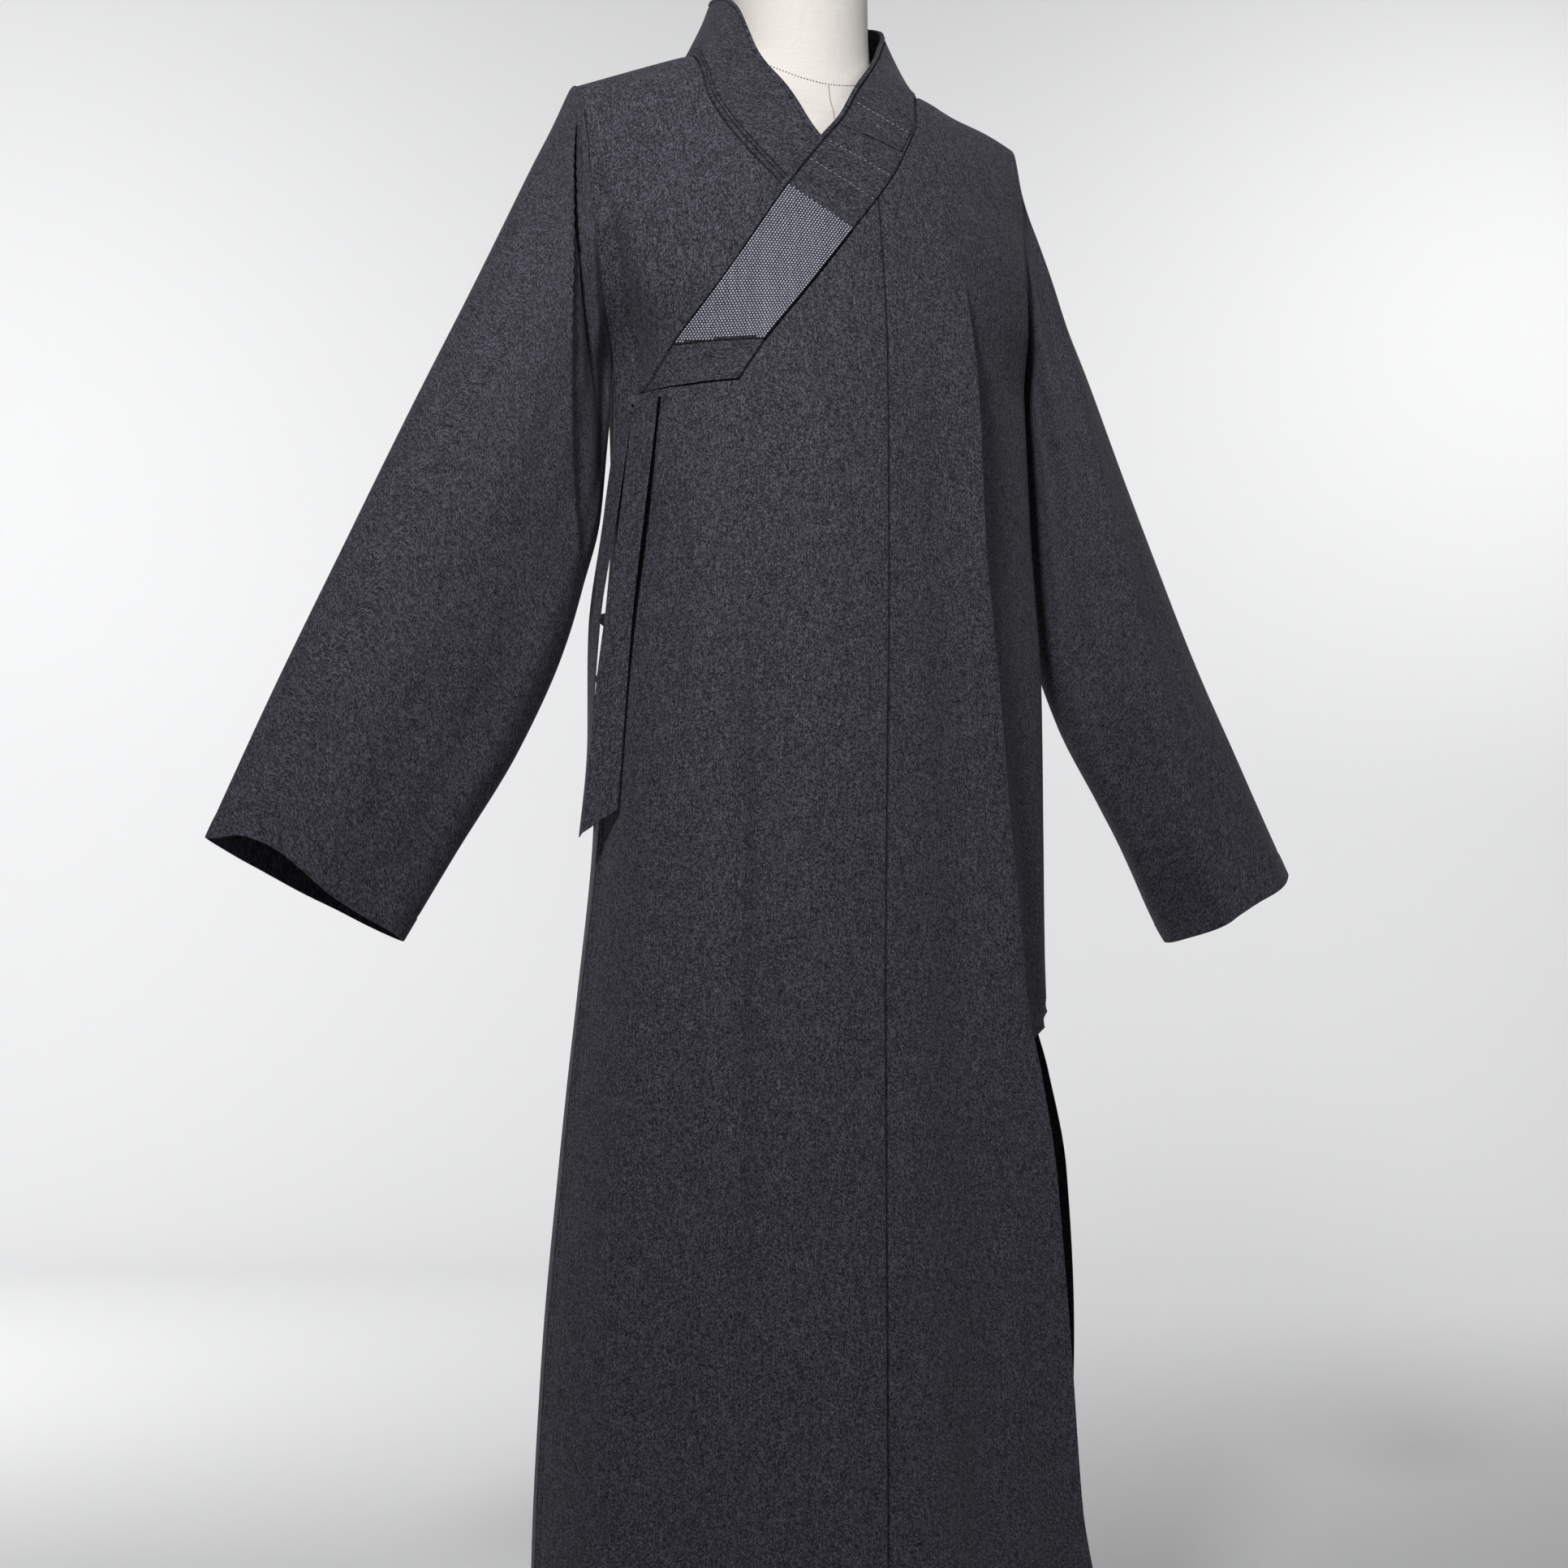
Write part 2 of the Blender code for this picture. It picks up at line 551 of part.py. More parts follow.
def collar_seam(curves, row, layer):
    """A point on the seam between a collar band and the body."""
    key = level_key(curves[1](row))
    side = "back" if row < NECK_ROW else "front"
    return body_point(side, angle_at(curves[0](row), key), key, layer if side == "front" else "outer")[0]


def collar_point(curves, row, cross, layer):
    """A point of a collar band: row runs along it, cross from the seam to the free edge."""
    seam = collar_seam(curves, row, layer)
    edge = np.array([curves[i](row) for i in (2, 3, 4)])
    point = mix(seam, edge, cross)
    lying = curves[5](row)
    if lying > 0:
        key = level_key(point[2])
        on_body = body_point("front", angle_at(point[0], key), key, layer)[0]
        point[1] = mix(point[1], on_body[1], lying)
    return point


def collar_normal(curves, row, cross, layer):
    last = len(OVER_COLLAR if curves is OVER else UNDER_COLLAR) - 1
    low_row, high_row = max(row - 0.05, 0.0), min(row + 0.05, last)
    if low_row < NECK_ROW < high_row:
        low_row, high_row = NECK_ROW - 0.05, NECK_ROW + 0.05
    low_cross, high_cross = max(cross - 0.1, 0.0), min(cross + 0.1, 1.0)
    along = collar_point(curves, high_row, cross, layer) - collar_point(curves, low_row, cross, layer)
    across = collar_point(curves, row, high_cross, layer) - collar_point(curves, row, low_cross, layer)
    normal = unit(np.cross(along, across))
    point = collar_point(curves, row, cross, layer)
    outward = np.array((point[0], point[1], 0.0))
    normal = normal if np.dot(normal, outward) > 0 else -normal
    if row == 0:
        normal[0] = 0.0     # both bands end square at the centre back
    return unit(normal)


def seam_normal(curves, row):
    """The panel's normal at the seam, which the band takes too, so that the two walls stay parallel."""
    key = level_key(curves[1](row))
    normal = body_normal("back" if row < NECK_ROW else "front", angle_at(curves[0](row), key), key)
    if row == 0:
        normal[0] = 0.0
    return unit(normal)


def solve_row(curves, low, high, test):
    """The row between low and high where the test, which rises along the band, turns positive."""
    for _ in range(30):
        middle = (low + high) / 2
        if test(middle) > 0:
            high = middle
        else:
            low = middle
    return (low + high) / 2


def column_angle(share, key, ridge, start, end):
    """Columns run from the start angle through a ridge line, at share 1, to the end angle, at share 2."""
    if share <= 1:
        return mix(start, ridge(key), share)
    return mix(ridge(key), end, share - 1)


def overlap_angle(share, key, end=OVERLAP_SIDE):
    return column_angle(share, key, OVERLAP_RIDGE, SEAM_ANGLE(key), end)


def left_angle(share, key):
    """The last column is the side seam, and below the slit the front's free edge."""
    swing = ease((SLIT_Z - SHOULDER_Z + key * key) / SLIT_SWING)
    end = mix(90.0, LEFT_RIDGE(key) + SLIT_MARGIN, swing)
    return column_angle(share, key, LEFT_RIDGE, SEAM_ANGLE(key), end)


FRONT_SEAM_ROW = solve_row(
    OVER, NECK_ROW, PATCH_START + 1,
    lambda row: SEAM_ANGLE(level_key(OVER[1](row))) - angle_at(OVER[0](row), level_key(OVER[1](row))))


def overlap_columns():
    """Shares of the overlap's columns: those that start at a row of the collar, then the rest."""
    shares = [0.0]
    for row in OVERLAP_ROWS + (float(COLLAR_END),):
        key = level_key(OVER[1](row))
        start, ridge = SEAM_ANGLE(key), OVERLAP_RIDGE(key)
        shares.append((start - angle_at(OVER[0](row), key)) / (start - ridge))
    return shares + list(OVERLAP_REST)


OVERLAP_COLUMNS = overlap_columns()


def skirt_keys():
    return [level_key(level) for level in SKIRT_LEVELS]


def seam_shift(point, direction):
    """Moves a seam's point half a gap away from the neighbour."""
    shifted = np.array(point)
    shifted[0] += direction * SEAM_GAP / 2
    return shifted


def build_left_front(collection, suiting):
    """Columns from the centre-front seam to the side, cut short along the over collar's seam."""
    cloth = Cloth("left_front", suiting, CLOTH)
    seam_key = level_key(OVER[1](FRONT_SEAM_ROW))
    keys = [k for k in ARMHOLE_KEYS if abs(k - seam_key) > 0.012] + [seam_key] + skirt_keys()[1:]
    rows = []
    for key in sorted(keys):
        inner_angle = SEAM_ANGLE(key)
        if key < seam_key:
            row = solve_row(OVER, NECK_ROW, FRONT_SEAM_ROW, lambda r: level_key(OVER[1](r)) - key)
            inner_angle = angle_at(OVER[0](row), key)
        line = []
        for share in LEFT_COLUMNS:
            angle = max(left_angle(share, key), inner_angle)
            point, normal = body_point("front", angle, key)
            if angle >= 90.0 and key <= level_key(UNDERARM_Z):
                normal = armhole_normal("left", "front", key)
            if key >= seam_key and share == LEFT_COLUMNS[0]:
                point = seam_shift(point, 1)
            line.append((point, normal))
        rows.append(line)
    cloth.grid(rows)
    return cloth.build(collection)


def overlap_top(share):
    """The key at which an overlap's column meets the over collar."""
    def inside(row):
        key = level_key(OVER[1](row))
        return overlap_angle(share, key) - angle_at(OVER[0](row), key)
    row = solve_row(OVER, FRONT_SEAM_ROW, COLLAR_END, inside)
    if row < COLLAR_END - 0.01:
        return row, level_key(OVER[1](row))
    return COLLAR_END, None


def band_end_level(angle):
    """The lower end of the over collar, from its seam to its edge."""
    seam_angle = angle_at(OVER_COLLAR[-1][0], level_key(OVER_COLLAR[-1][1]))
    edge_angle = angle_at(OVER_COLLAR[-1][2], level_key(OVER_COLLAR[-1][4]))
    share = (angle - seam_angle) / (edge_angle - seam_angle)
    return mix(OVER_COLLAR[-1][1], OVER_COLLAR[-1][4], min(max(share, 0.0), 1.3))


def build_outer_overlap(collection, suiting):
    """Columns from the centre-front seam to the right side, each starting below the over collar."""
    cloth = Cloth("outer_overlap", suiting, CLOTH)
    keys = [k for k in ARMHOLE_KEYS if k > level_key(OVER[1](FRONT_SEAM_ROW)) - 0.02] + skirt_keys()[1:]
    tops = []
    for share in OVERLAP_COLUMNS:
        _, top = overlap_top(share)
        if top is None:
            angle = overlap_angle(share, level_key(OVER_COLLAR[-1][1]))
            top = level_key(band_end_level(angle) - 1.5 * SEAM_GAP)
        tops.append(top)
    rows = []
    for key in [0.0] + keys:
        line = []
        for share, top in zip(OVERLAP_COLUMNS, tops):
            here = max(key, top)
            point, normal = body_point("front", overlap_angle(share, here), here)
            if share == OVERLAP_COLUMNS[0]:
                point = seam_shift(point, -1)
            line.append((point, normal))
        rows.append(line)
    cloth.grid(rows)
    return cloth.build(collection)


def build_right_front(collection, suiting):
    """The under layer, from the side seam to its hidden edge, cut short along the under collar's seam."""
    cloth = Cloth("right_front", suiting, CLOTH)
    end_row = len(UNDER_COLLAR) - 1
    end_key = level_key(UNDER[1](end_row))
    rows = []
    for key in list(ARMHOLE_KEYS) + skirt_keys()[1:]:
        inner_angle = UNDER_EDGE
        if key < end_key:
            row = solve_row(UNDER, NECK_ROW, end_row, lambda r: level_key(UNDER[1](r)) - key)
            inner_angle = angle_at(UNDER[0](row), key)
        line = []
        shares = [s for s in OVERLAP_COLUMNS if s > 0.1]
        for angle in [UNDER_EDGE] + [overlap_angle(s, key) for s in shares] + [-90.0]:
            angle = min(angle, inner_angle)
            point, normal = body_point("front", angle, key, "under")
            if angle <= -90.0 and key <= level_key(UNDERARM_Z):
                normal = armhole_normal("right", "front", key)
            line.append((point, normal))
        rows.append(line)
    cloth.grid(rows)
    return cloth.build(collection)


def neckline_key(angle):
    """The back neckline, by the collar's rows behind the shoulder fold."""
    def outside(row):
        key = level_key(OVER[1](row))
        return angle_at(OVER[0](row), key) - abs(angle)
    if outside(NECK_ROW) <= 0:
        return 0.0, NECK_ROW
    row = solve_row(OVER, 0.0, NECK_ROW, outside)
    return level_key(OVER[1](row)), row


def back_angle(name, share, key):
    ridge = BACK_RIGHT_RIDGE if name == "right" else BACK_LEFT_RIDGE
    return column_angle(share, key, ridge, 0.0, 90.0 * sleeve_sign(name))


def back_columns(name):
    """Top key and collar row of each column of the back."""
    tops = []
    for share in BACK_COLUMNS:
        row, key = NECK_ROW, 0.0
        for _ in range(12):
            angle = back_angle(name, share, key)
            key, row = neckline_key(angle)
        tops.append((share, key, row))
    return tops


def build_back(name, collection, suiting):
    cloth = Cloth("back_" + name, suiting, CLOTH)
    rows = []
    for key in list(ARMHOLE_KEYS) + skirt_keys()[1:]:
        line = []
        for share, top, _ in back_columns(name):
            here = max(key, top)
            angle = back_angle(name, share, here)
            point, normal = body_point("back", angle, here)
            if abs(angle) >= 90.0 and here <= level_key(UNDERARM_Z):
                normal = armhole_normal(name, "back", here)
            if share == BACK_COLUMNS[0]:
                point = seam_shift(point, sleeve_sign(name))
            line.append((point, normal))
        rows.append(line)
    cloth.grid(rows)
    return cloth.build(collection)


def build_sleeve(name, collection, suiting):
    """Rings from the armhole to the cuff, over the front from the top edge down and back up behind."""
    cloth = Cloth(name + "_sleeve", suiting, CLOTH)
    rows = []
    for length in SLEEVE_RINGS:
        ring = []
        stations = [("front", k) for k in ARMHOLE_KEYS] + [("back", k) for k in reversed(ARMHOLE_KEYS[1:-1])]
        for side, key in stations:
            share = min(max(armhole_share(key), 0.0), 1.0)
            if key == ARMHOLE_KEYS[-1]:
                share = 1.0
            point = sleeve_folded(name, side, length, share)
            normal = sleeve_normal(name, side, length, share)
            if length == 0.0:
                edge = body_point(side, 90.0 * sleeve_sign(name), key)[0]
                point = np.array((edge[0], 0.0 if share in (0.0, 1.0) else edge[1], edge[2]))
                normal = armhole_normal(name, side, key)
            point[0] += sleeve_sign(name) * SEAM_GAP
            ring.append((point, normal))
        rows.append(ring)
    cloth.grid(rows, closed=True)
    return cloth.build(collection)


def collar_rows(curves, shared_rows, end):
    """Rows of a band: those that its neighbours share, and the table's own where none is near."""
    rows = sorted(set(shared_rows))
    spare = [float(r) for r in range(end + 1) if all(abs(r - row) > ROW_STEP for row in rows)]
    return sorted(rows + spare)


def over_shared_rows():
    rows = [0.0, float(NECK_ROW)] + [row for _, _, row in back_columns("left") if 0.01 < row < NECK_ROW]
    seam_key = level_key(OVER[1](FRONT_SEAM_ROW))
    for key in ARMHOLE_KEYS[1:]:
        if key < seam_key - 0.012:
            rows.append(solve_row(OVER, NECK_ROW, FRONT_SEAM_ROW, lambda r: level_key(OVER[1](r)) - key))
    rows.append(FRONT_SEAM_ROW)
    rows += [overlap_top(s)[0] for s in OVERLAP_COLUMNS[1:] if overlap_top(s)[1] is not None]
    return rows + [float(COLLAR_END)]


def under_shared_rows():
    rows = [0.0, float(NECK_ROW)] + [row for _, _, row in back_columns("right") if 0.01 < row < NECK_ROW]
    end = len(UNDER_COLLAR) - 1
    end_key = level_key(UNDER[1](end))
    for key in ARMHOLE_KEYS[1:]:
        if key < end_key:
            rows.append(solve_row(UNDER, NECK_ROW, end, lambda r: level_key(UNDER[1](r)) - key))
    return rows + [float(end)]


def band_line(curves, row, layer, lift, steps=CROSS_STEPS, low_trim=SEAM_GAP):
    """One line across a band, lifted off it, with its seam end trimmed by the gap."""
    seam, edge = collar_point(curves, row, 0.0, layer), collar_point(curves, row, 1.0, layer)
    trim = low_trim / np.linalg.norm(edge - seam)
    line = []
    for step in steps:
        cross = max(step, trim)
        normal = collar_normal(curves, row, cross, layer)
        if step == 0.0:
            normal = seam_normal(curves, row)
        raised = lift + (BAND_RAISE * curves[5](row) if curves is OVER else 0.0)
        line.append((collar_point(curves, row, cross, layer) + normal * raised, normal))
    return line


def build_band(name, curves, rows, layer, wall, material, collection):
    cloth = Cloth(name, material, wall)
    lines = [band_line(curves, row, layer, 0.0) for row in rows]
    for i, direction in ((0, 1 if curves is OVER else -1),):
        lines[i] = [(seam_shift(p, direction), n) for p, n in lines[i]]
    cloth.grid(lines)
    return cloth.build(collection)


def build_overlay(name, rows, start, end, wall, material, collection):
    """A layer that lies on the over collar, made from the band's own points, moved out."""
    cloth = Cloth(name, material, wall)
    lift = 2 * SEAM_GAP + wall
    steps = CROSS_STEPS[1:-1]
    first, last = (min(rows, key=lambda row: abs(row - place)) for place in (start, end))
    chosen = [row for row in rows if first <= row <= last]
    chosen[0] += OVERLAY_TRIM
    cloth.grid([band_line(OVER, row, "outer", lift, steps) for row in chosen])
    return cloth.build(collection)


def build_tie(name, table, collection, material):
    """A flat strip that hangs from its top row and ends in a slanted point."""
    cloth = Cloth(name, material, TIE)
    heights = [row[0] for row in table]
    keys = [heights[0] - z for z in heights]
    _, edge_x, edge_y, facing, width = column_curves(table, keys)
    rows = []
    count = 10
    for i in range(count + 1):
        key = keys[-1] * i / count
        turn = math.radians(facing(key))
        across = np.array((-math.cos(turn), math.sin(turn), 0.0))
        normal = np.array((-math.sin(turn), -math.cos(turn), 0.0))
        line = []
        for share in (0.0, 0.5, 1.0):
            point = np.array((edge_x(key), edge_y(key), heights[0] - key)) + across * width(key) * share
            if i == count:
                point[2] -= TIE_POINT * share
            line.append((point, normal))
        rows.append(line)
    cloth.grid(rows)
    return cloth.build(collection)


def build_button(name, level, angle, collection, material):
    """A knot button, and the loop of cord that holds it to the side edge."""
    point, normal = body_point("front", angle, level_key(level))
    centre = point + normal * (BUTTON_RADIUS + 2 * LOOP_RADIUS + 2 * SEAM_GAP)
    bpy.ops.mesh.primitive_uv_sphere_add(segments=14, ring_count=8, radius=BUTTON_RADIUS, location=tuple(centre))
    knot = bpy.context.object
    knot.name = "knot_" + name
    move_to(knot, collection, material)
    side = unit(np.cross(normal, np.array((0.0, 0.0, 1.0))))
    side = side if side[1] > 0 else -side
    curve = bpy.data.curves.new("loop_" + name, "CURVE")
    curve.dimensions = "3D"
    curve.bevel_depth = LOOP_RADIUS
    curve.bevel_resolution = 1
    curve.use_fill_caps = True
    spline = curve.splines.new("POLY")
    foot = point + normal * (LOOP_RADIUS + SEAM_GAP)
    count = 9
    spline.points.add(count - 1)
    for i in range(count):
        share = 2 * i / (count - 1) - 1
        place = foot + side * LOOP_REACH * share * 0.5
        place = place + np.array((0.0, 0.0, LOOP_RADIUS * 1.6 * math.cos(share * math.pi / 2)))
        spline.points[i].co = (*place, 1.0)
    loop = bpy.data.objects.new("loop_" + name, curve)
    curve.materials.append(material)
    collection.objects.link(loop)
    return knot, loop


def move_to(piece, collection, material):
    for owner in list(piece.users_collection):
        owner.objects.unlink(piece)
    collection.objects.link(piece)
    piece.data.name = piece.name
    piece.data.materials.clear()
    piece.data.materials.append(material)
    piece.data.shade_smooth()
    piece.data.set_sharp_from_angle(angle=math.radians(40))


def form_ring(level, half, front, back, lowered):
    """One ring of the dress form, kept inside the robe wherever the robe lies over it."""
    ring = []
    key = level_key(level)
    for i in range(FORM_SEGMENTS):
        turn = 2 * math.pi * i / FORM_SEGMENTS
        x, facing = half * math.sin(turn), -math.cos(turn)
        side = "front" if facing < 0 else "back"
        y = facing * (front if side == "front" else back)
        near_shoulder = ease((level - UNDERARM_Z) / (SHOULDER_Z - UNDERARM_Z))
        sink = lowered * facing ** 2 * (1.0 if side == "front" else 0.35)
        z = level - sink - shoulder_drop(x, "front") * near_shoulder
        robe_key = level_key(min(level - sink, SHOULDER_Z))
        if abs(x) > NECK_SIDE_X * 0.9 and level <= SHOULDER_Z:
            roof = plain_point(side, angle_at(x, robe_key), robe_key)
            room = FORM_FILL * abs(roof[1]) - FORM_CLEARANCE
            y = math.copysign(min(abs(y), max(room, 0.0)), facing)
        ring.append((x, y, z))
    return ring


def build_form(collection, linen):
    """The torso and neck: a loft of rings with plain ends."""
    rings = [form_ring(*row) for row in FORM]
    points = [p for ring in rings for p in ring]
    n = FORM_SEGMENTS
    faces = [list(range(n)), [len(points) - n + i for i in reversed(range(n))]]
    for r in range(len(rings) - 1):
        for i in range(n):
            j = (i + 1) % n
            faces.append([r * n + j, r * n + i, (r + 1) * n + i, (r + 1) * n + j])
    mesh = bpy.data.meshes.new("form_torso")
    mesh.from_pydata(points, [], faces)
    return finish_mesh(mesh, "form_torso", linen, collection)


def build_stand(collection, steel, iron):
    """The pole, and the round base that stands on the floor."""
    pole_bottom = BASE_HEIGHT + SEAM_GAP
    pole_top = FORM[-1][0] - SEAM_GAP
    bpy.ops.mesh.primitive_cylinder_add(
        vertices=24, radius=POLE_RADIUS, depth=pole_top - pole_bottom, location=(0, 0, (pole_top + pole_bottom) / 2))
    pole = bpy.context.object
    pole.name = "form_pole"
    move_to(pole, collection, steel)
    bpy.ops.mesh.primitive_cylinder_add(
        vertices=48, radius=BASE_RADIUS, depth=BASE_HEIGHT, location=(0, 0, BASE_HEIGHT / 2))
    base = bpy.context.object
    base.name = "form_base"
    move_to(base, collection, iron)
    bevel = base.modifiers.new("rim", "BEVEL")
    bevel.width = BASE_BEVEL
    bevel.segments = 2
    bevel.limit_method = "ANGLE"


def make_material(name):
    color, roughness, metallic = COLORS[name]
    material = bpy.data.materials.new(name)
    material.use_nodes = True
    shader = material.node_tree.nodes["Principled BSDF"]
    shader.inputs["Base Color"].default_value = color
    shader.inputs["Roughness"].default_value = roughness
    shader.inputs["Metallic"].default_value = metallic
    material.diffuse_color = color
    return material


def main():
    for old in list(bpy.data.objects):
        bpy.data.objects.remove(old, do_unlink=True)
    collection = bpy.data.collections.new("monk_robe_on_dress_form")
    bpy.context.scene.collection.children.link(collection)
    look = {name: make_material(name) for name in COLORS}
    suiting = look["suiting"]

    build_left_front(collection, suiting)
    build_outer_overlap(collection, suiting)
    build_right_front(collection, suiting)
    for name in ("right", "left"):
        build_back(name, collection, suiting)
        build_sleeve(name, collection, suiting)

    over_rows = collar_rows(OVER, over_shared_rows(), COLLAR_END)
    under_rows = collar_rows(UNDER, under_shared_rows(), len(UNDER_COLLAR) - 1)
    build_band("over_collar", OVER, over_rows, "outer", OVER_BAND, suiting, collection)
    build_band("under_collar", UNDER, under_rows, "under", UNDER_BAND, suiting, collection)
    build_overlay("collar_tab_upper", over_rows, TABS_START, TABS_MIDDLE, OVERLAY, suiting, collection)
    build_overlay("collar_tab_lower", over_rows, TABS_MIDDLE, TABS_END, OVERLAY, suiting, collection)
    build_overlay("quilted_patch", over_rows, PATCH_START, PATCH_END, QUILTED, look["quilting"], collection)

    build_tie("tie_front", FRONT_TIE, collection, suiting)
    build_tie("tie_back", BACK_TIE, collection, suiting)
    for name, level, angle in BUTTONS:
        build_button(name, level, angle, collection, look["knot_black"])

    build_form(collection, look["linen"])
    build_stand(collection, look["stand_steel"], look["stand_iron"])


main()
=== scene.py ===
"""The looks of the monk's long robe on its dress form.

Metres, +Z up, the front faces -Y. Right and left are the wearer's, so the right side is at -X. The cloth is built
again from the solids' tables at finer steps. Some of their values are fitted more closely to the photograph, and the
smaller creases, seams and stitches are added. Every grid of points runs down in rows and across in columns.
"""
import math

import bpy
import numpy as np
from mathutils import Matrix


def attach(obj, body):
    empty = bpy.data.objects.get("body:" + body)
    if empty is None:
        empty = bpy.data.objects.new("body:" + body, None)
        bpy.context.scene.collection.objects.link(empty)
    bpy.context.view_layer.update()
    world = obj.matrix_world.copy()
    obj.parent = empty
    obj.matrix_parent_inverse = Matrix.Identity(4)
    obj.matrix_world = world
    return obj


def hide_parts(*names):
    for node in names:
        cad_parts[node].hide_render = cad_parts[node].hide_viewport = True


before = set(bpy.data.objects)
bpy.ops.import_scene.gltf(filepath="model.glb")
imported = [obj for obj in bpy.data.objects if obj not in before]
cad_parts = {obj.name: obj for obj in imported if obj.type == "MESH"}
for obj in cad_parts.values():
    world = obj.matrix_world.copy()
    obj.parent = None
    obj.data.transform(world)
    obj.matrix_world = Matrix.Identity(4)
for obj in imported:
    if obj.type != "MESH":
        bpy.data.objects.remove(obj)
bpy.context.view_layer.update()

# Driving dimensions. Those of the slit and the sag are fitted more closely than in the solids.
SHOULDER_Z = 1.440      # neck end of the shoulder fold
UNDERARM_Z, HEM_Z = 1.170, 0.090
NECK_SIDE_X, NECK_BACK_RISE = 0.106, 0.024
SHOULDER_SLOPE, SHOULDER_SOFTNESS = 0.39, 0.010
LEFT_SAG, LEFT_SAG_X, LEFT_SAG_WIDTH = 0.0100, 0.118, 0.042     # the left shoulder line sags beside the neck
CLOTH, UNDER_BAND, OVER_BAND, OVERLAY, TIE = 0.0012, 0.0018, 0.0022, 0.0010, 0.0016    # walls
SEAM_GAP = 0.0003
END_GAP = 1.5 * SEAM_GAP        # between the over collar's end and the overlap
BAND_RAISE = 0.0013             # of the over collar over the body
OVERLAP_SIDE, UNDER_EDGE = -85.0, 4.0       # angles of the overlap's free edge and of the right front's
UNDER_STEP, UNDER_TOP, UNDER_START = 0.0032, 1.432, 0.055       # how far the right front lies under, and from where
SLIT_Z, SLIT_SWING, SLIT_MARGIN = 0.655, 0.055, 0.8     # the left slit's top, and how the front's edge swings forward

LEVELS = (
    # level, right half, left half, front, back, armhole front, armhole back, roundness
    (1.44, 0.203, 0.195, 0.0, 0.0, 0.0, 0.0, 2.0),
    (1.433, 0.203, 0.194, 0.042, 0.055, 0.02, 0.022, 2.0),
    (1.405, 0.204, 0.19, 0.078, 0.094, 0.038, 0.044, 2.0),
    (1.36, 0.203, 0.188, 0.1, 0.112, 0.05, 0.058, 1.8),
    (1.3, 0.199, 0.191, 0.117, 0.122, 0.053, 0.06, 1.4),
    (1.235, 0.187, 0.196, 0.127, 0.128, 0.036, 0.042, 1.15),
    (1.17, 0.166, 0.201, 0.134, 0.13, 0.0, 0.0, 1.0),
    (1.05, 0.163, 0.209, 0.138, 0.131, 0.0, 0.0, 1.0),
    (0.92, 0.173, 0.22, 0.141, 0.132, 0.0, 0.0, 1.0),
    (0.79, 0.179, 0.222, 0.145, 0.135, 0.0, 0.0, 1.0),
    (0.65, 0.195, 0.225, 0.15, 0.139, 0.0, 0.0, 1.0),
    (0.59, 0.202, 0.241, 0.1525, 0.141, 0.0, 0.0, 1.0),
    (0.5, 0.211, 0.26, 0.156, 0.144, 0.0, 0.0, 1.0),
    (0.35, 0.225, 0.268, 0.161, 0.149, 0.0, 0.0, 1.0),
    (0.2, 0.233, 0.265, 0.165, 0.153, 0.0, 0.0, 1.0),
    (0.09, 0.235, 0.266, 0.167, 0.155, 0.0, 0.0, 1.0),
)

GUIDES = (
    # level, centre front seam, ridge on the left front, ridge on the overlap, ridge on the back left, back right
    (1.44, 6.0, 40.0, -45.0, 40.0, -38.0),
    (1.25, 6.9, 31.0, -38.0, 38.0, -36.0),
    (1.035, 6.0, 30.8, -36.0, 37.0, -34.0),
    (0.81, 4.7, 35.6, -34.0, 39.0, -33.0),
    (0.66, 3.6, 40.2, -32.0, 40.4, -33.0),
    (0.5, 2.6, 41.9, -30.0, 42.0, -33.0),
    (0.23, 2.0, 50.0, -28.0, 46.0, -35.0),
    (0.09, 2.0, 62.0, -27.0, 48.0, -36.0),
)

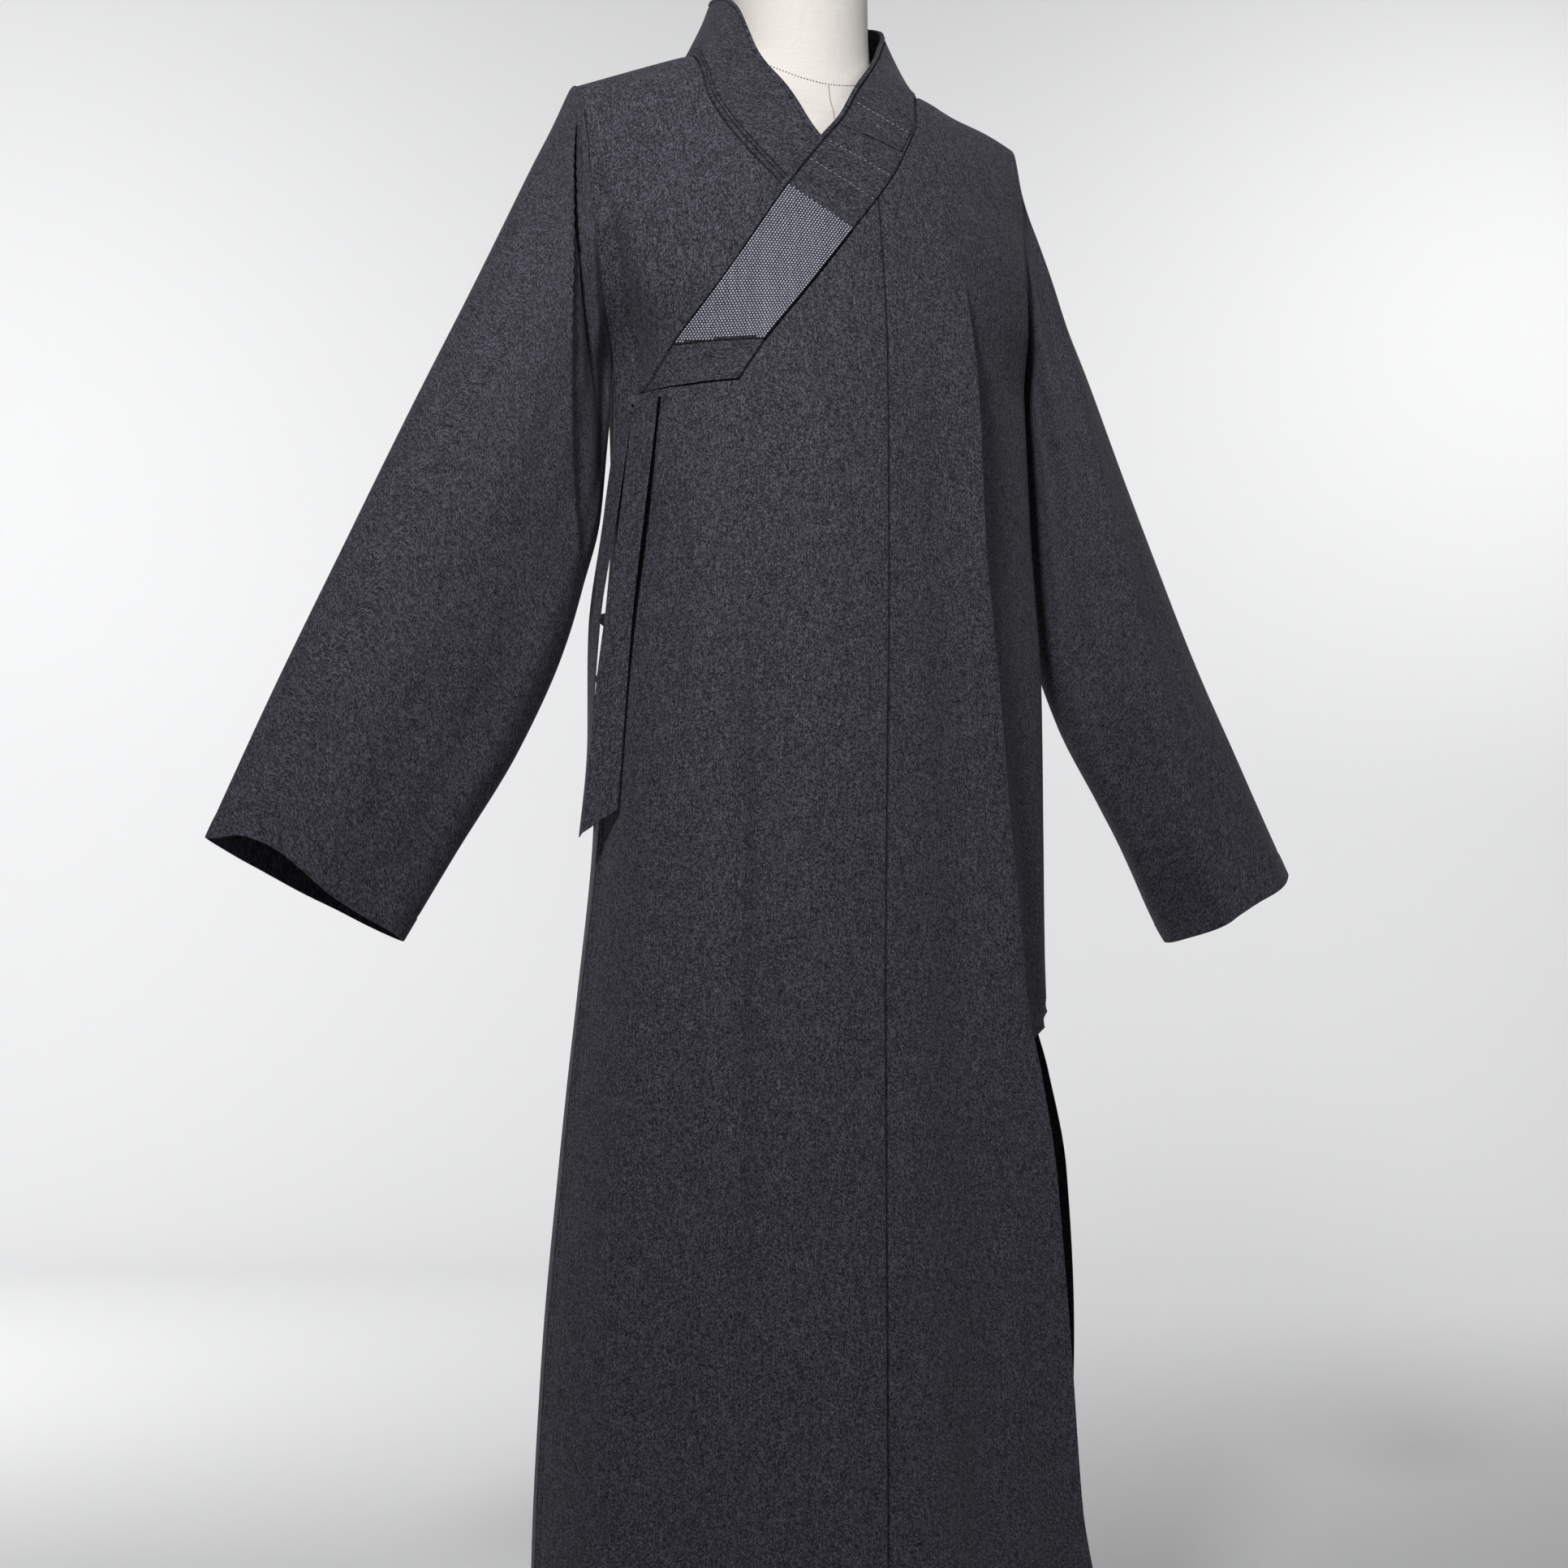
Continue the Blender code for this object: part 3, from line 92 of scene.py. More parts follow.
# Top, low end, angle at top, middle and low end, height at top and low end, half width in degrees.
# The smaller creases, which only the looks have, come last.
FOLDS = {
    "front": (
        (1.3, 0.09, 30.0, 39.0, 61.0, 0.004, 0.008, 7.0),
        (1.25, 0.09, 50.0, 57.0, 77.0, -0.004, -0.011, 8.0),
        (1.34, 0.3, 70.0, 71.0, 80.0, 0.005, 0.003, 7.0),
        (1.0, 0.09, -35.0, -33.0, -27.0, 0.0015, 0.006, 5.0),
        (0.98, 0.09, -27.5, -26.0, -19.0, -0.003, -0.005, 6.0),
        (1.02, 0.09, -62.0, -60.0, -56.0, 0.002, 0.007, 9.0),
        (0.9, 0.09, 20.0, 22.0, 26.0, -0.0015, -0.006, 8.0),
        (1.33, 1.02, -65.0, -60.0, -52.0, 0.0016, 0.001, 3.0),
        (1.33, 1.0, -56.0, -51.0, -44.0, -0.0014, -0.0008, 3.5),
        (1.04, 0.26, -35.0, -31.7, -29.6, 0.0038, 0.0024, 2.2),
        (1.08, 0.36, -31.0, -27.6, -24.0, -0.005, -0.002, 2.6),
        (1.4, 1.12, -76.0, -77.0, -78.0, -0.007, -0.008, 8.0),
        (1.26, 1.08, -62.0, -64.0, -63.0, 0.0042, 0.002, 3.0),
        (1.24, 0.64, -50.0, -47.0, -43.0, 0.003, 0.003, 6.0),
        (1.2, 0.09, 20.0, 22.0, 26.0, -0.003, -0.004, 8.0),
        (1.2, 0.6, 14.0, 15.0, 18.0, 0.001, 0.0012, 5.0),
        (0.7, 0.09, 8.0, 10.0, 12.0, 0.0006, 0.003, 4.5),
        (0.66, 0.09, -9.0, -10.0, -11.0, -0.0006, -0.0032, 5.0),
        (0.62, 0.09, -45.0, -44.0, -41.0, -0.0008, -0.004, 5.0),
        (0.5, 0.09, 34.0, 38.0, 44.0, -0.0006, -0.0034, 4.0),
    ),
    "back": (
        (1.3, 0.09, 37.0, 39.0, 48.0, 0.004, 0.014, 7.0),
        (1.22, 0.09, 22.0, 24.0, 30.0, -0.003, -0.009, 8.0),
        (1.1, 0.09, 56.0, 60.0, 66.0, -0.004, -0.01, 7.0),
        (1.28, 0.09, -35.0, -33.0, -36.0, 0.005, 0.012, 7.0),
        (1.18, 0.09, -52.0, -50.0, -54.0, -0.004, -0.011, 8.0),
        (1.05, 0.09, -18.0, -17.0, -15.0, -0.003, -0.008, 7.0),
        (1.33, 0.9, 30.0, 29.0, 28.0, 0.0014, 0.001, 3.0),
        (1.3, 0.8, -27.0, -26.0, -25.0, 0.0014, 0.0012, 3.0),
        (0.9, 0.09, 8.0, 9.0, 11.0, 0.001, 0.004, 4.5),
        (0.8, 0.09, -43.0, -42.0, -44.0, 0.0012, 0.0036, 3.5),
        (0.76, 0.09, 53.0, 55.0, 58.0, 0.0012, 0.004, 3.5),
    ),
}
FOLD_START, FOLD_END, FOLD_SIDE = 0.18, 0.15, 12.0     # metres and degrees over which folds come up and fade

# The pressed ridge: metres high and low, and degrees over which it rises, breaks and comes back
RIDGE_HEIGHT, RIDGE_DROP = 0.0080, 0.0100
RIDGE_RISE, RIDGE_BREAK, RIDGE_REACH = 9.0, 1.6, 26.0
RIDGE_TOP, RIDGE_START = 1.300, 0.150

WANDERS = (
    # waves across, waves down in radians a metre, phase, height
    (34.0, 3.1, 0.4, 0.00045),
    (57.0, -5.3, 2.1, 0.0003),
    (21.0, 9.2, 4.4, 0.00045),
    (83.0, 4.0, 1.3, 0.00016),
    (12.0, 17.0, 3.0, 0.00035),
)
WANDER_RADIUS = 0.2             # turns degrees round the body into metres
WANDER_TOP, WANDER_START = 1.36, 0.12

PLAIN_PROBE, FOLDED_PROBE = (1.0, 0.004), (0.8, 0.006)      # degrees and key steps for finding normals
BAND_PROBE = 0.01               # the same along and across a band
PAST_HEM = 0.01                 # how far below the hem they may reach

RIGHT_SLEEVE = (
    # top x, top z, bottom x, bottom z, half depth
    (0.203, 1.403, 0.172, 1.17, 0.06),
    (0.218, 1.37, 0.1765, 1.11, 0.06),
    (0.234, 1.338, 0.18, 1.05, 0.059),
    (0.284, 1.233, 0.194, 0.99, 0.056),
    (0.335, 1.129, 0.212, 0.933, 0.051),
    (0.39, 1.013, 0.249, 0.853, 0.045),
    (0.444, 0.898, 0.3, 0.77, 0.038),
    (0.4965, 0.78, 0.342, 0.7, 0.03),
)
LEFT_SLEEVE = (
    # top x, top z, bottom x, bottom z, half depth
    (0.1945, 1.403, 0.202, 1.17, 0.056),
    (0.203, 1.362, 0.215, 1.09, 0.056),
    (0.2315, 1.292, 0.223, 1.02, 0.056),
    (0.2655, 1.222, 0.232, 0.96, 0.055),
    (0.322, 1.097, 0.257, 0.893, 0.053),
    (0.379, 0.972, 0.296, 0.828, 0.051),
    (0.432, 0.871, 0.34, 0.758, 0.048),
    (0.4865, 0.77, 0.379, 0.703, 0.045),
)

# Share across at the armhole and the cuff, height at the armhole and the cuff, half width
SLEEVE_FOLDS = {
    ("right", "front"): (
        (0.3, 0.42, 0.006, 0.002, 0.12),
        (0.66, 0.78, -0.008, -0.003, 0.11),
        (0.14, 0.2, 0.0022, 0.0008, 0.05),
        (0.52, 0.6, -0.002, -0.001, 0.06),
        (0.86, 0.9, 0.002, 0.001, 0.05),
    ),
    ("right", "back"): (
        (0.4, 0.5, 0.006, 0.003, 0.13),
        (0.74, 0.7, -0.006, -0.003, 0.1),
        (0.2, 0.28, -0.002, -0.0014, 0.06),
    ),
    ("left", "front"): (
        (-0.14, 0.86, 0.009, 0.006, 0.13),
        (0.56, 1.04, -0.01, -0.006, 0.13),
        (0.3, 0.3, 0.0, 0.004, 0.16),
        (0.1, 0.46, -0.0022, -0.0012, 0.06),
        (0.34, 0.62, 0.0016, 0.0012, 0.05),
    ),
    ("left", "back"): (
        (0.35, 0.45, 0.006, 0.003, 0.12),
        (0.7, 0.72, -0.005, -0.004, 0.11),
        (0.52, 0.58, -0.002, -0.0016, 0.06),
    ),
}
SLEEVE_WANDERS = ((0.0006, 31, 9, 0), (0.0005, 17, -21, 2))     # height, waves along and across, phase
SLEEVE_START, SLEEVE_EDGE = 0.2, 0.1    # shares of the length and width over which the folds come up
ROOT_REACH, ROUND_REACH = 0.5, 0.35     # shares of the length over which the armhole's line and depth run out
POINTED, POINT_REACH = 2.4, 0.55        # how pointed the right sleeve's lower front edge is, and how far along

# Where each sleeve's front layer is drawn back at the cuff: share across, spread, part of the sleeve's length
CUFF_FRONT = {"right": (0.25, 0.26, 0.017), "left": (0.60, 0.20, 0.004)}
CUFF_FADE, CUFF_POWER = 0.12, 8
LOW_BACK = {"right": 0.0, "left": 0.022}        # how far back the lower edge hangs at the cuff
LOW_SHARE, LOW_START = 0.72, 0.76       # from these shares across and along

# Lines on the right sleeve's front beside the armhole: share across the sleeve, share of its length
FACE_EDGE = ((0.10, 0.04), (0.25, 0.17), (0.32, 0.24), (0.39, 0.30), (0.54, 0.348), (0.68, 0.384), (0.90, 0.44))
TROUGH_LINE = ((0.10, 0.02), (0.18, 0.062), (0.25, 0.12), (0.33, 0.165), (0.44, 0.150), (0.75, 0.150))
LIT_LINE = ((0.10, 0.01), (0.30, 0.056), (0.41, 0.085), (0.59, 0.050), (0.75, 0.068))
FACE_DROP, FACE_LIP, FACE_BREAK = 0.0095, 0.0020, 0.012
ARMPIT_TOP, FACE_START, FACE_END, ROLL_END, ARMPIT_FADE = 0.08, 0.16, 0.97, 0.86, 0.10
TROUGH_DEPTH, TROUGH_WIDTH, LIT_HEIGHT, LIT_WIDTH = 0.0062, 0.020, 0.0045, 0.030

OVER_COLLAR = (
    # seam x, seam level, edge x, edge y, edge z, how far the band lies down on the body
    (0.0, 1.425, 0.0, 0.064, 1.522, 0.0),
    (0.056, 1.426, 0.043, 0.056, 1.518, 0.0),
    (0.092, 1.431, 0.07, 0.036, 1.509, 0.0),
    (0.106, 1.44, 0.079, 0.006, 1.495, 0.0),
    (0.095, 1.434, 0.0645, -0.02, 1.469, 0.0),
    (0.079, 1.412, 0.04, -0.055, 1.436, 0.0),
    (0.0717, 1.386, 0.02, -0.074, 1.411, 0.2),
    (0.0577, 1.359, -0.004, -0.088, 1.375, 0.8),
    (0.0383, 1.327, -0.0235, None, 1.353, 1.0),
    (-0.002, 1.275, -0.059, None, 1.309, 1.0),
    (-0.039, 1.228, -0.0995, None, 1.249, 1.0),
    (-0.0769, 1.179, -0.1429, None, 1.179, 1.0),
    (-0.096, 1.148, -0.1576, None, 1.146, 1.0),
)
UNDER_COLLAR = (
    # seam x, seam level, edge x, edge y, edge z, how far the band lies down on the body
    (0.0, 1.425, 0.0, 0.064, 1.522, 0.0),
    (-0.056, 1.426, -0.043, 0.056, 1.518, 0.0),
    (-0.092, 1.431, -0.069, 0.034, 1.509, 0.0),
    (-0.106, 1.44, -0.0715, 0.002, 1.501, 0.0),
    (-0.11, 1.42, -0.067, -0.028, 1.481, 0.0),
    (-0.11, 1.396, -0.057, -0.05, 1.437, 0.0),
    (-0.102, 1.368, -0.0415, -0.072, 1.403, 0.4),
    (-0.0856, 1.341, -0.028, None, 1.368, 1.0),
    (-0.059, 1.309, -0.007, None, 1.337, 1.0),
    (-0.02, 1.262, 0.025, None, 1.299, 1.0),
    (0.015, 1.22, 0.055, None, 1.262, 1.0),
)
NECK_ROW, COLLAR_END = 3, 12     # collar rows at the side of the neck and at the over collar's end
PATCH_LIFT = 0.0015
OVERLAYS = {
    # row at both ends, cross at both sides, lift over the band
    "collar_tab_a": (4.5, 6.02, 0.06, 0.91, 0.0016),
    "collar_tab_b": (6.02 + 0.01, 7.3, 0.06, 0.91, 0.0011),
    "patch_cloth": (9.02, 11, 0.02, 0.93, PATCH_LIFT),
}
END_CLEARANCE = 0.00005         # under an overlay's ends, which lie down on the band

TAB_STITCHES = (
    # row and cross at one end, row and cross at the other end, lift
    (6.45, 0.88, 6.6, 0.06, 0.0012),
    (6.84, 0.53, 6.88, 0.43, 0.0012),
    (8.01, 0.89, 8.04, 0.02, 0.0001),
    (8.5, 0.93, 8.51, 0.02, 0.0001),
)
THREAD = 0.00062
TAB_PITCH, TAB_STITCH, TAB_THREAD = 0.0042, 0.0026, THREAD * 0.8
QUILT_ROWS, QUILT_CROSSES, QUILT_PITCH, QUILT_LIFT = 29, (0.033, 0.917), 0.00245, PATCH_LIFT + 0.0001
QUILT_STITCH, QUILT_THREAD = 0.00168, 0.00115       # length, and width of the soft thread as it spreads
QUILT_INSET, QUILT_END, QUILT_LOOKUP = 0.02, 0.0005, 200
QUILT_STAGGER = (0.25, 0.75)        # where even and odd rows start, in pitches
# How far stitches stray from an even pitch: how much, waves along the row, and phase from row to row
QUILT_UNEVEN, TAB_UNEVEN = (0.0001, 5100, 2.3), (0.08, 7.3)
# A stitch from end to end: place along it, thickness, height
STITCH_STATIONS = ((-0.5, 0.15, -0.3), (-0.36, 0.85, 0.1), (0.0, 1.0, 0.35), (0.36, 0.85, 0.1), (0.5, 0.15, -0.3))
STITCH_SIDES = 4        # so the ends are quads too

FRONT_TIE = (
    # z, x and y of the edge nearer the front, facing in degrees from the front, width
    (1.143, -0.1512, -0.0712, 64.0, 0.027),
    (1.05, -0.1588, -0.059, 62.0, 0.028),
    (0.95, -0.168, -0.052, 52.0, 0.029),
    (0.85, -0.1745, -0.0465, 42.0, 0.03),
    (0.808, -0.1768, -0.044, 37.0, 0.031),
)
BACK_TIE = (
    (1.128, -0.1654, -0.0441, 72.0, 0.02),
    (1.05, -0.174, -0.033, 80.0, 0.025),
    (0.96, -0.1821, -0.01, 86.0, 0.026),
    (0.88, -0.1833, 0.004, 96.0, 0.026),
    (0.808, -0.184, 0.0, 80.0, 0.028),
)
TIE_POINT, POINT_LENGTH = 0.020, 0.12
TIE_WAVE, TIE_WAVES, TIE_WAVE_START = 0.0006, 23.0, 0.05
TIE_FLAT, TIE_ROUND = 0.5, 0.7      # powers that flatten the strip's section and round its edges
TIE_FOLD, TIE_FOLD_DEPTH, TIE_FOLD_WIDTH = 0.0060, 0.0004, 0.0010      # the line of the seam along the strip

BUTTONS = (
    # name, z, angle round the body, size, how tall
    ("closing", 1.137, -73.0, 1.3, 1.35),
    ("side_upper", 0.965, -87.0, 1.1, 1.0),
    ("side_lower", 0.916, -87.0, 1.0, 1.0),
)
BUTTON_RADIUS, LOOP_RADIUS, LOOP_REACH = 0.0046, 0.0012, 0.014
KNOT_CORD, KNOT_STEPS, LOOP_STEPS, LOOP_ARCH = 0.27, 220, 40, 1.6
KNOT_TURNS, KNOT_LOBES, KNOT_BULGE, KNOT_RISE = 3, 4, 0.00035, 0.80     # how the cord goes round the ball

FORM = (
    # level, half width, front, back, lowered at the front
    (1.53, 0.056, 0.056, 0.056, 0.0),
    (1.526, 0.058, 0.058, 0.058, 0.0),
    (1.48, 0.0584, 0.0586, 0.0586, 0.004),
    (1.458, 0.06, 0.06, 0.061, 0.018),
    (1.446, 0.07, 0.064, 0.07, 0.033),
    (1.4385, 0.088, 0.067, 0.076, 0.038),
    (1.4364, 0.118, 0.071, 0.082, 0.044),
    (1.4378, 0.155, 0.073, 0.085, 0.048),
    (1.4376, 0.18, 0.074, 0.086, 0.05),
    (1.434, 0.19, 0.075, 0.087, 0.05),
    (1.425, 0.193, 0.077, 0.089, 0.047),
    (1.405, 0.193, 0.082, 0.093, 0.038),
    (1.37, 0.185, 0.092, 0.098, 0.024),
    (1.31, 0.166, 0.104, 0.103, 0.01),
    (1.23, 0.154, 0.112, 0.105, 0.0),
    (1.15, 0.145, 0.108, 0.103, 0.0),
    (1.04, 0.13, 0.095, 0.096, 0.0),
    (0.96, 0.133, 0.096, 0.1, 0.0),
    (0.88, 0.148, 0.103, 0.113, 0.0),
    (0.81, 0.151, 0.104, 0.115, 0.0),
    (0.792, 0.146, 0.1, 0.111, 0.0),
    (0.79, 0.138, 0.093, 0.104, 0.0),
)
FORM_FILL, FORM_CLEARANCE, BACK_SINK = 0.78, 0.0040, 0.35
FORM_HELD = {"front": 0.095, "back": 0.070}     # beyond this distance from the middle the robe holds the form in
FORM_SEAM_STEP, FORM_SEAM_END = 4.0, 18.0       # rings where the neck is sewn on, and where the long seams end
FORM_SEAM_POINTS, FORM_SEAM_RADIUS, NECK_DOTS, NECK_DOT = 90, 0.0006, 170, (0.0016, 0.0011)
FORM_PROBE = (0.02, 0.05)       # turn and ring steps for finding the form's normals

# Patterns a metre, across the grain and along it, and the melange's colour with its shares in the flecks
FLECKS, STREAKS, BROAD, FIBRES = (1150.0, 980.0), (760.0, 60.0), (60.0, 6.0), (1800.0, 1100.0)
MELANGE, FLECK_SHARES = (0.0550, 0.0524, 0.0665), (0.02, 0.85, 2.50)
# What the cords share, in TONED's columns
CORD = (0.75, 0.3, 0.1, 0.0, 900.0, 2.0, 0.4, 0.0003)
TONED = {
    # roughness, specular, sheen, metallic, pattern's scale and detail, bump's strength and distance, two colours
    "thread": (0.7, 0.3, 0.0, 0.0, 500.0, 1.0, 0.0, 0.0, (0.44, 0.46, 0.56), (0.66, 0.69, 0.80)),
    "cloth_cord": (*CORD, (0.036, 0.036, 0.044), (0.090, 0.090, 0.104)),
    "black_cord": (*CORD, (0.006, 0.006, 0.007), (0.020, 0.020, 0.022)),
    "dot_thread": (*CORD, (0.10, 0.08, 0.07), (0.20, 0.17, 0.15)),
    "seam_thread": (*CORD, (0.44, 0.38, 0.33), (0.56, 0.50, 0.45)),
    "brushed_steel": (0.3, 0.3, 0.0, 1.0, 60.0, 2.0, 0.1, 0.0002, (0.40, 0.40, 0.41), (0.52, 0.52, 0.53)),
    "coated_iron": (0.5, 0.4, 0.0, 0.0, 700.0, 3.0, 0.5, 0.0003, (0.018, 0.018, 0.020), (0.040, 0.040, 0.043)),
}

CHEST, WALL_LEFT, WALL_RIGHT = (0.0, 0.0, 1.15), (-0.6, 5.0, 1.2), (2.6, 4.4, 1.2)
LIGHTS = (
    # name, place, size, power, what it shines at
    ("key", (-1.15, -1.50, 2.10), 0.35, 10.0, CHEST),
    ("front_fill", (1.3, -2.2, 1.7), 1.6, 12.0, CHEST),
    ("top", (0.2, 0.2, 3.4), 2.0, 5.0, CHEST),
    ("wall_left", (-2.2, 1.6, 2.6), 2.5, 196.0, WALL_LEFT),
    ("wall_right", (3.0, 1.4, 2.6), 2.5, 66.0, WALL_RIGHT),
)
KEY_SPREAD = math.radians(100.0)
WORLD_COLOR, WORLD_STRENGTH = (0.95, 0.97, 1.0, 1.0), 0.06
STAGE_NEAR, STAGE_BACK, STAGE_SIDE, STAGE_HEIGHT, STAGE_RADIUS = 6.0, 3.2, 8.0, 6.0, 1.2
STAGE_COLOR, STAGE_STEPS = (0.60, 0.602, 0.607, 1.0), 16

SHARP_ANGLE = math.radians(50)
PAST_EDGE = 1.3                 # how far past its free edge the over collar's end line runs on
NECK_TRIES = 12
UNDERARM_FADE, NECK_FADE = 0.01, 0.004      # over which a side seam and the back's neck seam come up

# Fineness of the grids
PANEL_ROWS, PANEL_COLUMNS = 172, 105
OVERLAP_COLUMNS = (63, 52)      # up to the over collar's corner, and past it
SLEEVE_ROWS, SLEEVE_COLUMNS = 120, 136
BAND_ROWS, BAND_COLUMNS = 230, 30
OVERLAY_ROWS, OVERLAY_COLUMNS = 60, 48
TIE_ROWS, TIE_COLUMNS = 150, 40
FORM_STEPS, FORM_COLUMNS = 8, 145
GRAIN_KEYS, GRAIN_ANGLES = 140, 181
LOOKUP_ROWS, ARM_ROWS = 1500, 400

# Steps close together at a panel's top, hem and side edges and at the cuff, and where the even steps start
TOP_STEPS, BELOW_TOP = (0.0, 0.0016, 0.0034, 0.006), 0.012
HEM_STEPS = (0.0380, 0.0346, 0.0328, 0.0318, 0.0310, 0.0302, 0.0292, 0.0270, 0.0180, 0.0090, 0.0)
EDGE_STEPS, BESIDE_EDGE = np.array((0.0, 0.003, 0.007, 0.012, 0.020, 0.030)), 0.044
CUFF_STEPS = (0.9600, 0.9630, 0.9650, 0.9662, 0.9674, 0.9686, 0.9698, 0.9718, 0.9760, 0.9860, 1.0)
BEFORE_CUFF = 0.955
BAND_EDGE = (0.004, 0.012, 0.022, 0.034)
BAND_PARTS = ((0.05, 0.20, 22), (0.23, 0.88, BAND_COLUMNS), (0.90, 1.0, 17))
END_FOLD_CLOSE = (-0.08, 0.08, 13)      # rows close together at the over collar's turned end

# Turned edges: how wide, how much thicker, over what it rises, and its stitch line's place, depth and width
HEM_BORDER = (0.030, 0.0004, 0.002, 0.031, 0.0005, 0.0012)
CUFF_BORDER = (0.022, 0.0004, 0.002, 0.023, 0.0005, 0.0010)
OVERLAP_BORDER = (0.006, 0.0002, 0.001, 0.006, 0.0003, 0.0007)
OVER_PIPING = (0.0038, 0.0009, 0.0006, 0.0046, 0.0010, 0.0009)
UNDER_PIPING = (0.0040, 0.0006, 0.0006, 0.0045, 0.0007, 0.0006)
# A sewn seam dips this deep and wide; a dip this deep gets the full painted shade in the cloth's colour
SEAM_DEPTH, SEAM_WIDTH = 0.0010, 0.0013
TOUCH = 0.00004         # where a piece only turns over into the next, so no seam shows
END_FOLD_ROW, END_FOLD_DEPTH, END_FOLD_WIDTH = 11.36, 0.00025, 0.0012       # the over collar's turned end
ROW_LENGTH = 0.035      # of the over collar there
UNDER_STITCHES = ((0.0052, 0.0090), 0.0010, 0.0009)     # distances from the seam, depth and width

# Camera: the photograph's frame is PHOTO pixels on a side, and FOCAL is in the same pixels
PHOTO, FOCAL, SENSOR = 1932, 2790, 36.0
CAMERA_PLACE = (-0.727, -1.799, 0.674)
CAMERA_TURN = -22.0     # degrees round +Z
HORIZON_SHIFT, SIDE_SHIFT = 0.121, -0.0098


def smooth_curve(keys, values):
    """A smooth curve through a table's column that never swings past its values."""
    keys, values = np.asarray(keys, float), np.asarray(values, float)
    step = np.diff(keys)
    slope = np.diff(values) / step
    tangent = np.zeros(len(keys))
    tangent[0], tangent[-1] = slope[0], slope[-1]
    for i in range(1, len(keys) - 1):
        if slope[i - 1] * slope[i] > 0:
            before, after = 2 * step[i] + step[i - 1], step[i] + 2 * step[i - 1]
            tangent[i] = (before + after) / (before / slope[i - 1] + after / slope[i])

    def at(key):
        key = np.clip(key, keys[0], keys[-1])
        i = np.clip(np.searchsorted(keys, key) - 1, 0, len(keys) - 2)
        t = (key - keys[i]) / step[i]
        rise = (3 * t ** 2 - 2 * t ** 3) * (values[i + 1] - values[i])
        start = (t ** 3 - 2 * t ** 2 + t) * step[i] * tangent[i]
        end = (t ** 3 - t ** 2) * step[i] * tangent[i + 1]
        return values[i] + rise + start + end

    return at


def column_curves(table, keys=None):
    """A curve for each column of a table, read by the rows' numbers unless keys are given."""
    keys = range(len(table)) if keys is None else keys
    return [smooth_curve(list(keys), column) for column in zip(*table)]


def level_key(level):
    """Levels are read by the root of their drop, which rounds the cloth over the shoulder."""
    return np.sqrt(np.maximum(SHOULDER_Z - np.asarray(level, float), 0.0))


def level_curves(table):
    return column_curves(table, [level_key(row[0]) for row in table])[1:]


HEM_KEY, UNDERARM_KEY = float(level_key(HEM_Z)), float(level_key(UNDERARM_Z))
RIGHT_HALF, LEFT_HALF, FRONT, BACK, ARM_FRONT, ARM_BACK, ROUNDNESS = level_curves(LEVELS)
SEAM_ANGLE, LEFT_RIDGE, OVERLAP_RIDGE, BACK_LEFT_RIDGE, BACK_RIGHT_RIDGE = level_curves(GUIDES)


def ease(share):
    share = np.clip(share, 0.0, 1.0)
    return share * share * (3 - 2 * share)


def mix(low, high, share):
    return low + (high - low) * share


def bump(distance, width):
    return np.exp(-(distance / width) ** 2)


def unit(vectors):
    return vectors / np.maximum(np.linalg.norm(vectors, axis=-1, keepdims=True), 1e-12)


def half_width(place, key):
    """The body's half width on the side of the place, which is an angle or an x."""
    return np.where(place < 0, RIGHT_HALF(key), LEFT_HALF(key))


def angle_at(x, key):
    return np.degrees(np.arcsin(np.clip(x / half_width(x, key), -1.0, 1.0)))


def shoulder_drop(x, side):
    """How far the shoulder fold has fallen at x, and how far the back neckline rises."""
    past_neck = np.abs(x) - NECK_SIDE_X
    drop = SHOULDER_SLOPE * (past_neck + np.hypot(past_neck, SHOULDER_SOFTNESS)) / 2
    drop = drop + LEFT_SAG * bump(x - LEFT_SAG_X, LEFT_SAG_WIDTH)
    if side == "back":
        drop = drop - NECK_BACK_RISE * np.maximum(0.0, 1 - (x / NECK_SIDE_X) ** 2)
    return drop


def near_shoulder(level):
    return ease((level - UNDERARM_Z) / (SHOULDER_Z - UNDERARM_Z))


def plain_point(side, angle, key):
    """Points of the body without its folds. The angle is -90 at the right side and 90 at the left."""
    angle, key = np.broadcast_arrays(np.asarray(angle, float), np.asarray(key, float))
    turn = np.radians(angle)
    round_share = np.maximum(np.cos(turn), 0.0) ** ROUNDNESS(key)
    x = half_width(angle, key) * np.sin(turn)
    if side == "front":
        y = -mix(ARM_FRONT(key), FRONT(key), round_share)
    else:
        y = mix(ARM_BACK(key), BACK(key), round_share)
    level = SHOULDER_Z - key * key
    return np.stack((x, y, level - shoulder_drop(x, side) * near_shoulder(level)), -1)


def fold_height(side, angle, key):
    """Height of the folds, the pressed ridge and the cloth's unevenness over the plain body."""
    level = SHOULDER_Z - key * key
    height = np.zeros(np.broadcast(angle, key).shape)
    for top, low, at_top, at_middle, at_low, high_top, high_low, width in FOLDS[side]:
        share = (top - level) / (top - low)
        bend = 4 * (at_middle - (at_top + at_low) / 2) * share * (1 - share)
        centre = mix(at_top, at_low, share) + bend
        swell = mix(high_top, high_low, share) * ease((top - level) / FOLD_START)
        if low - HEM_Z > FOLD_END:
            swell = swell * ease((level - low) / FOLD_END + 1)
        height = height + np.where(level > top, 0.0, swell * bump(angle - centre, width))
    if side == "front":
        height = height + ridge_height(angle, key)
    return (height + wander(angle, level)) * ease((90.0 - np.abs(angle)) / FOLD_SIDE)


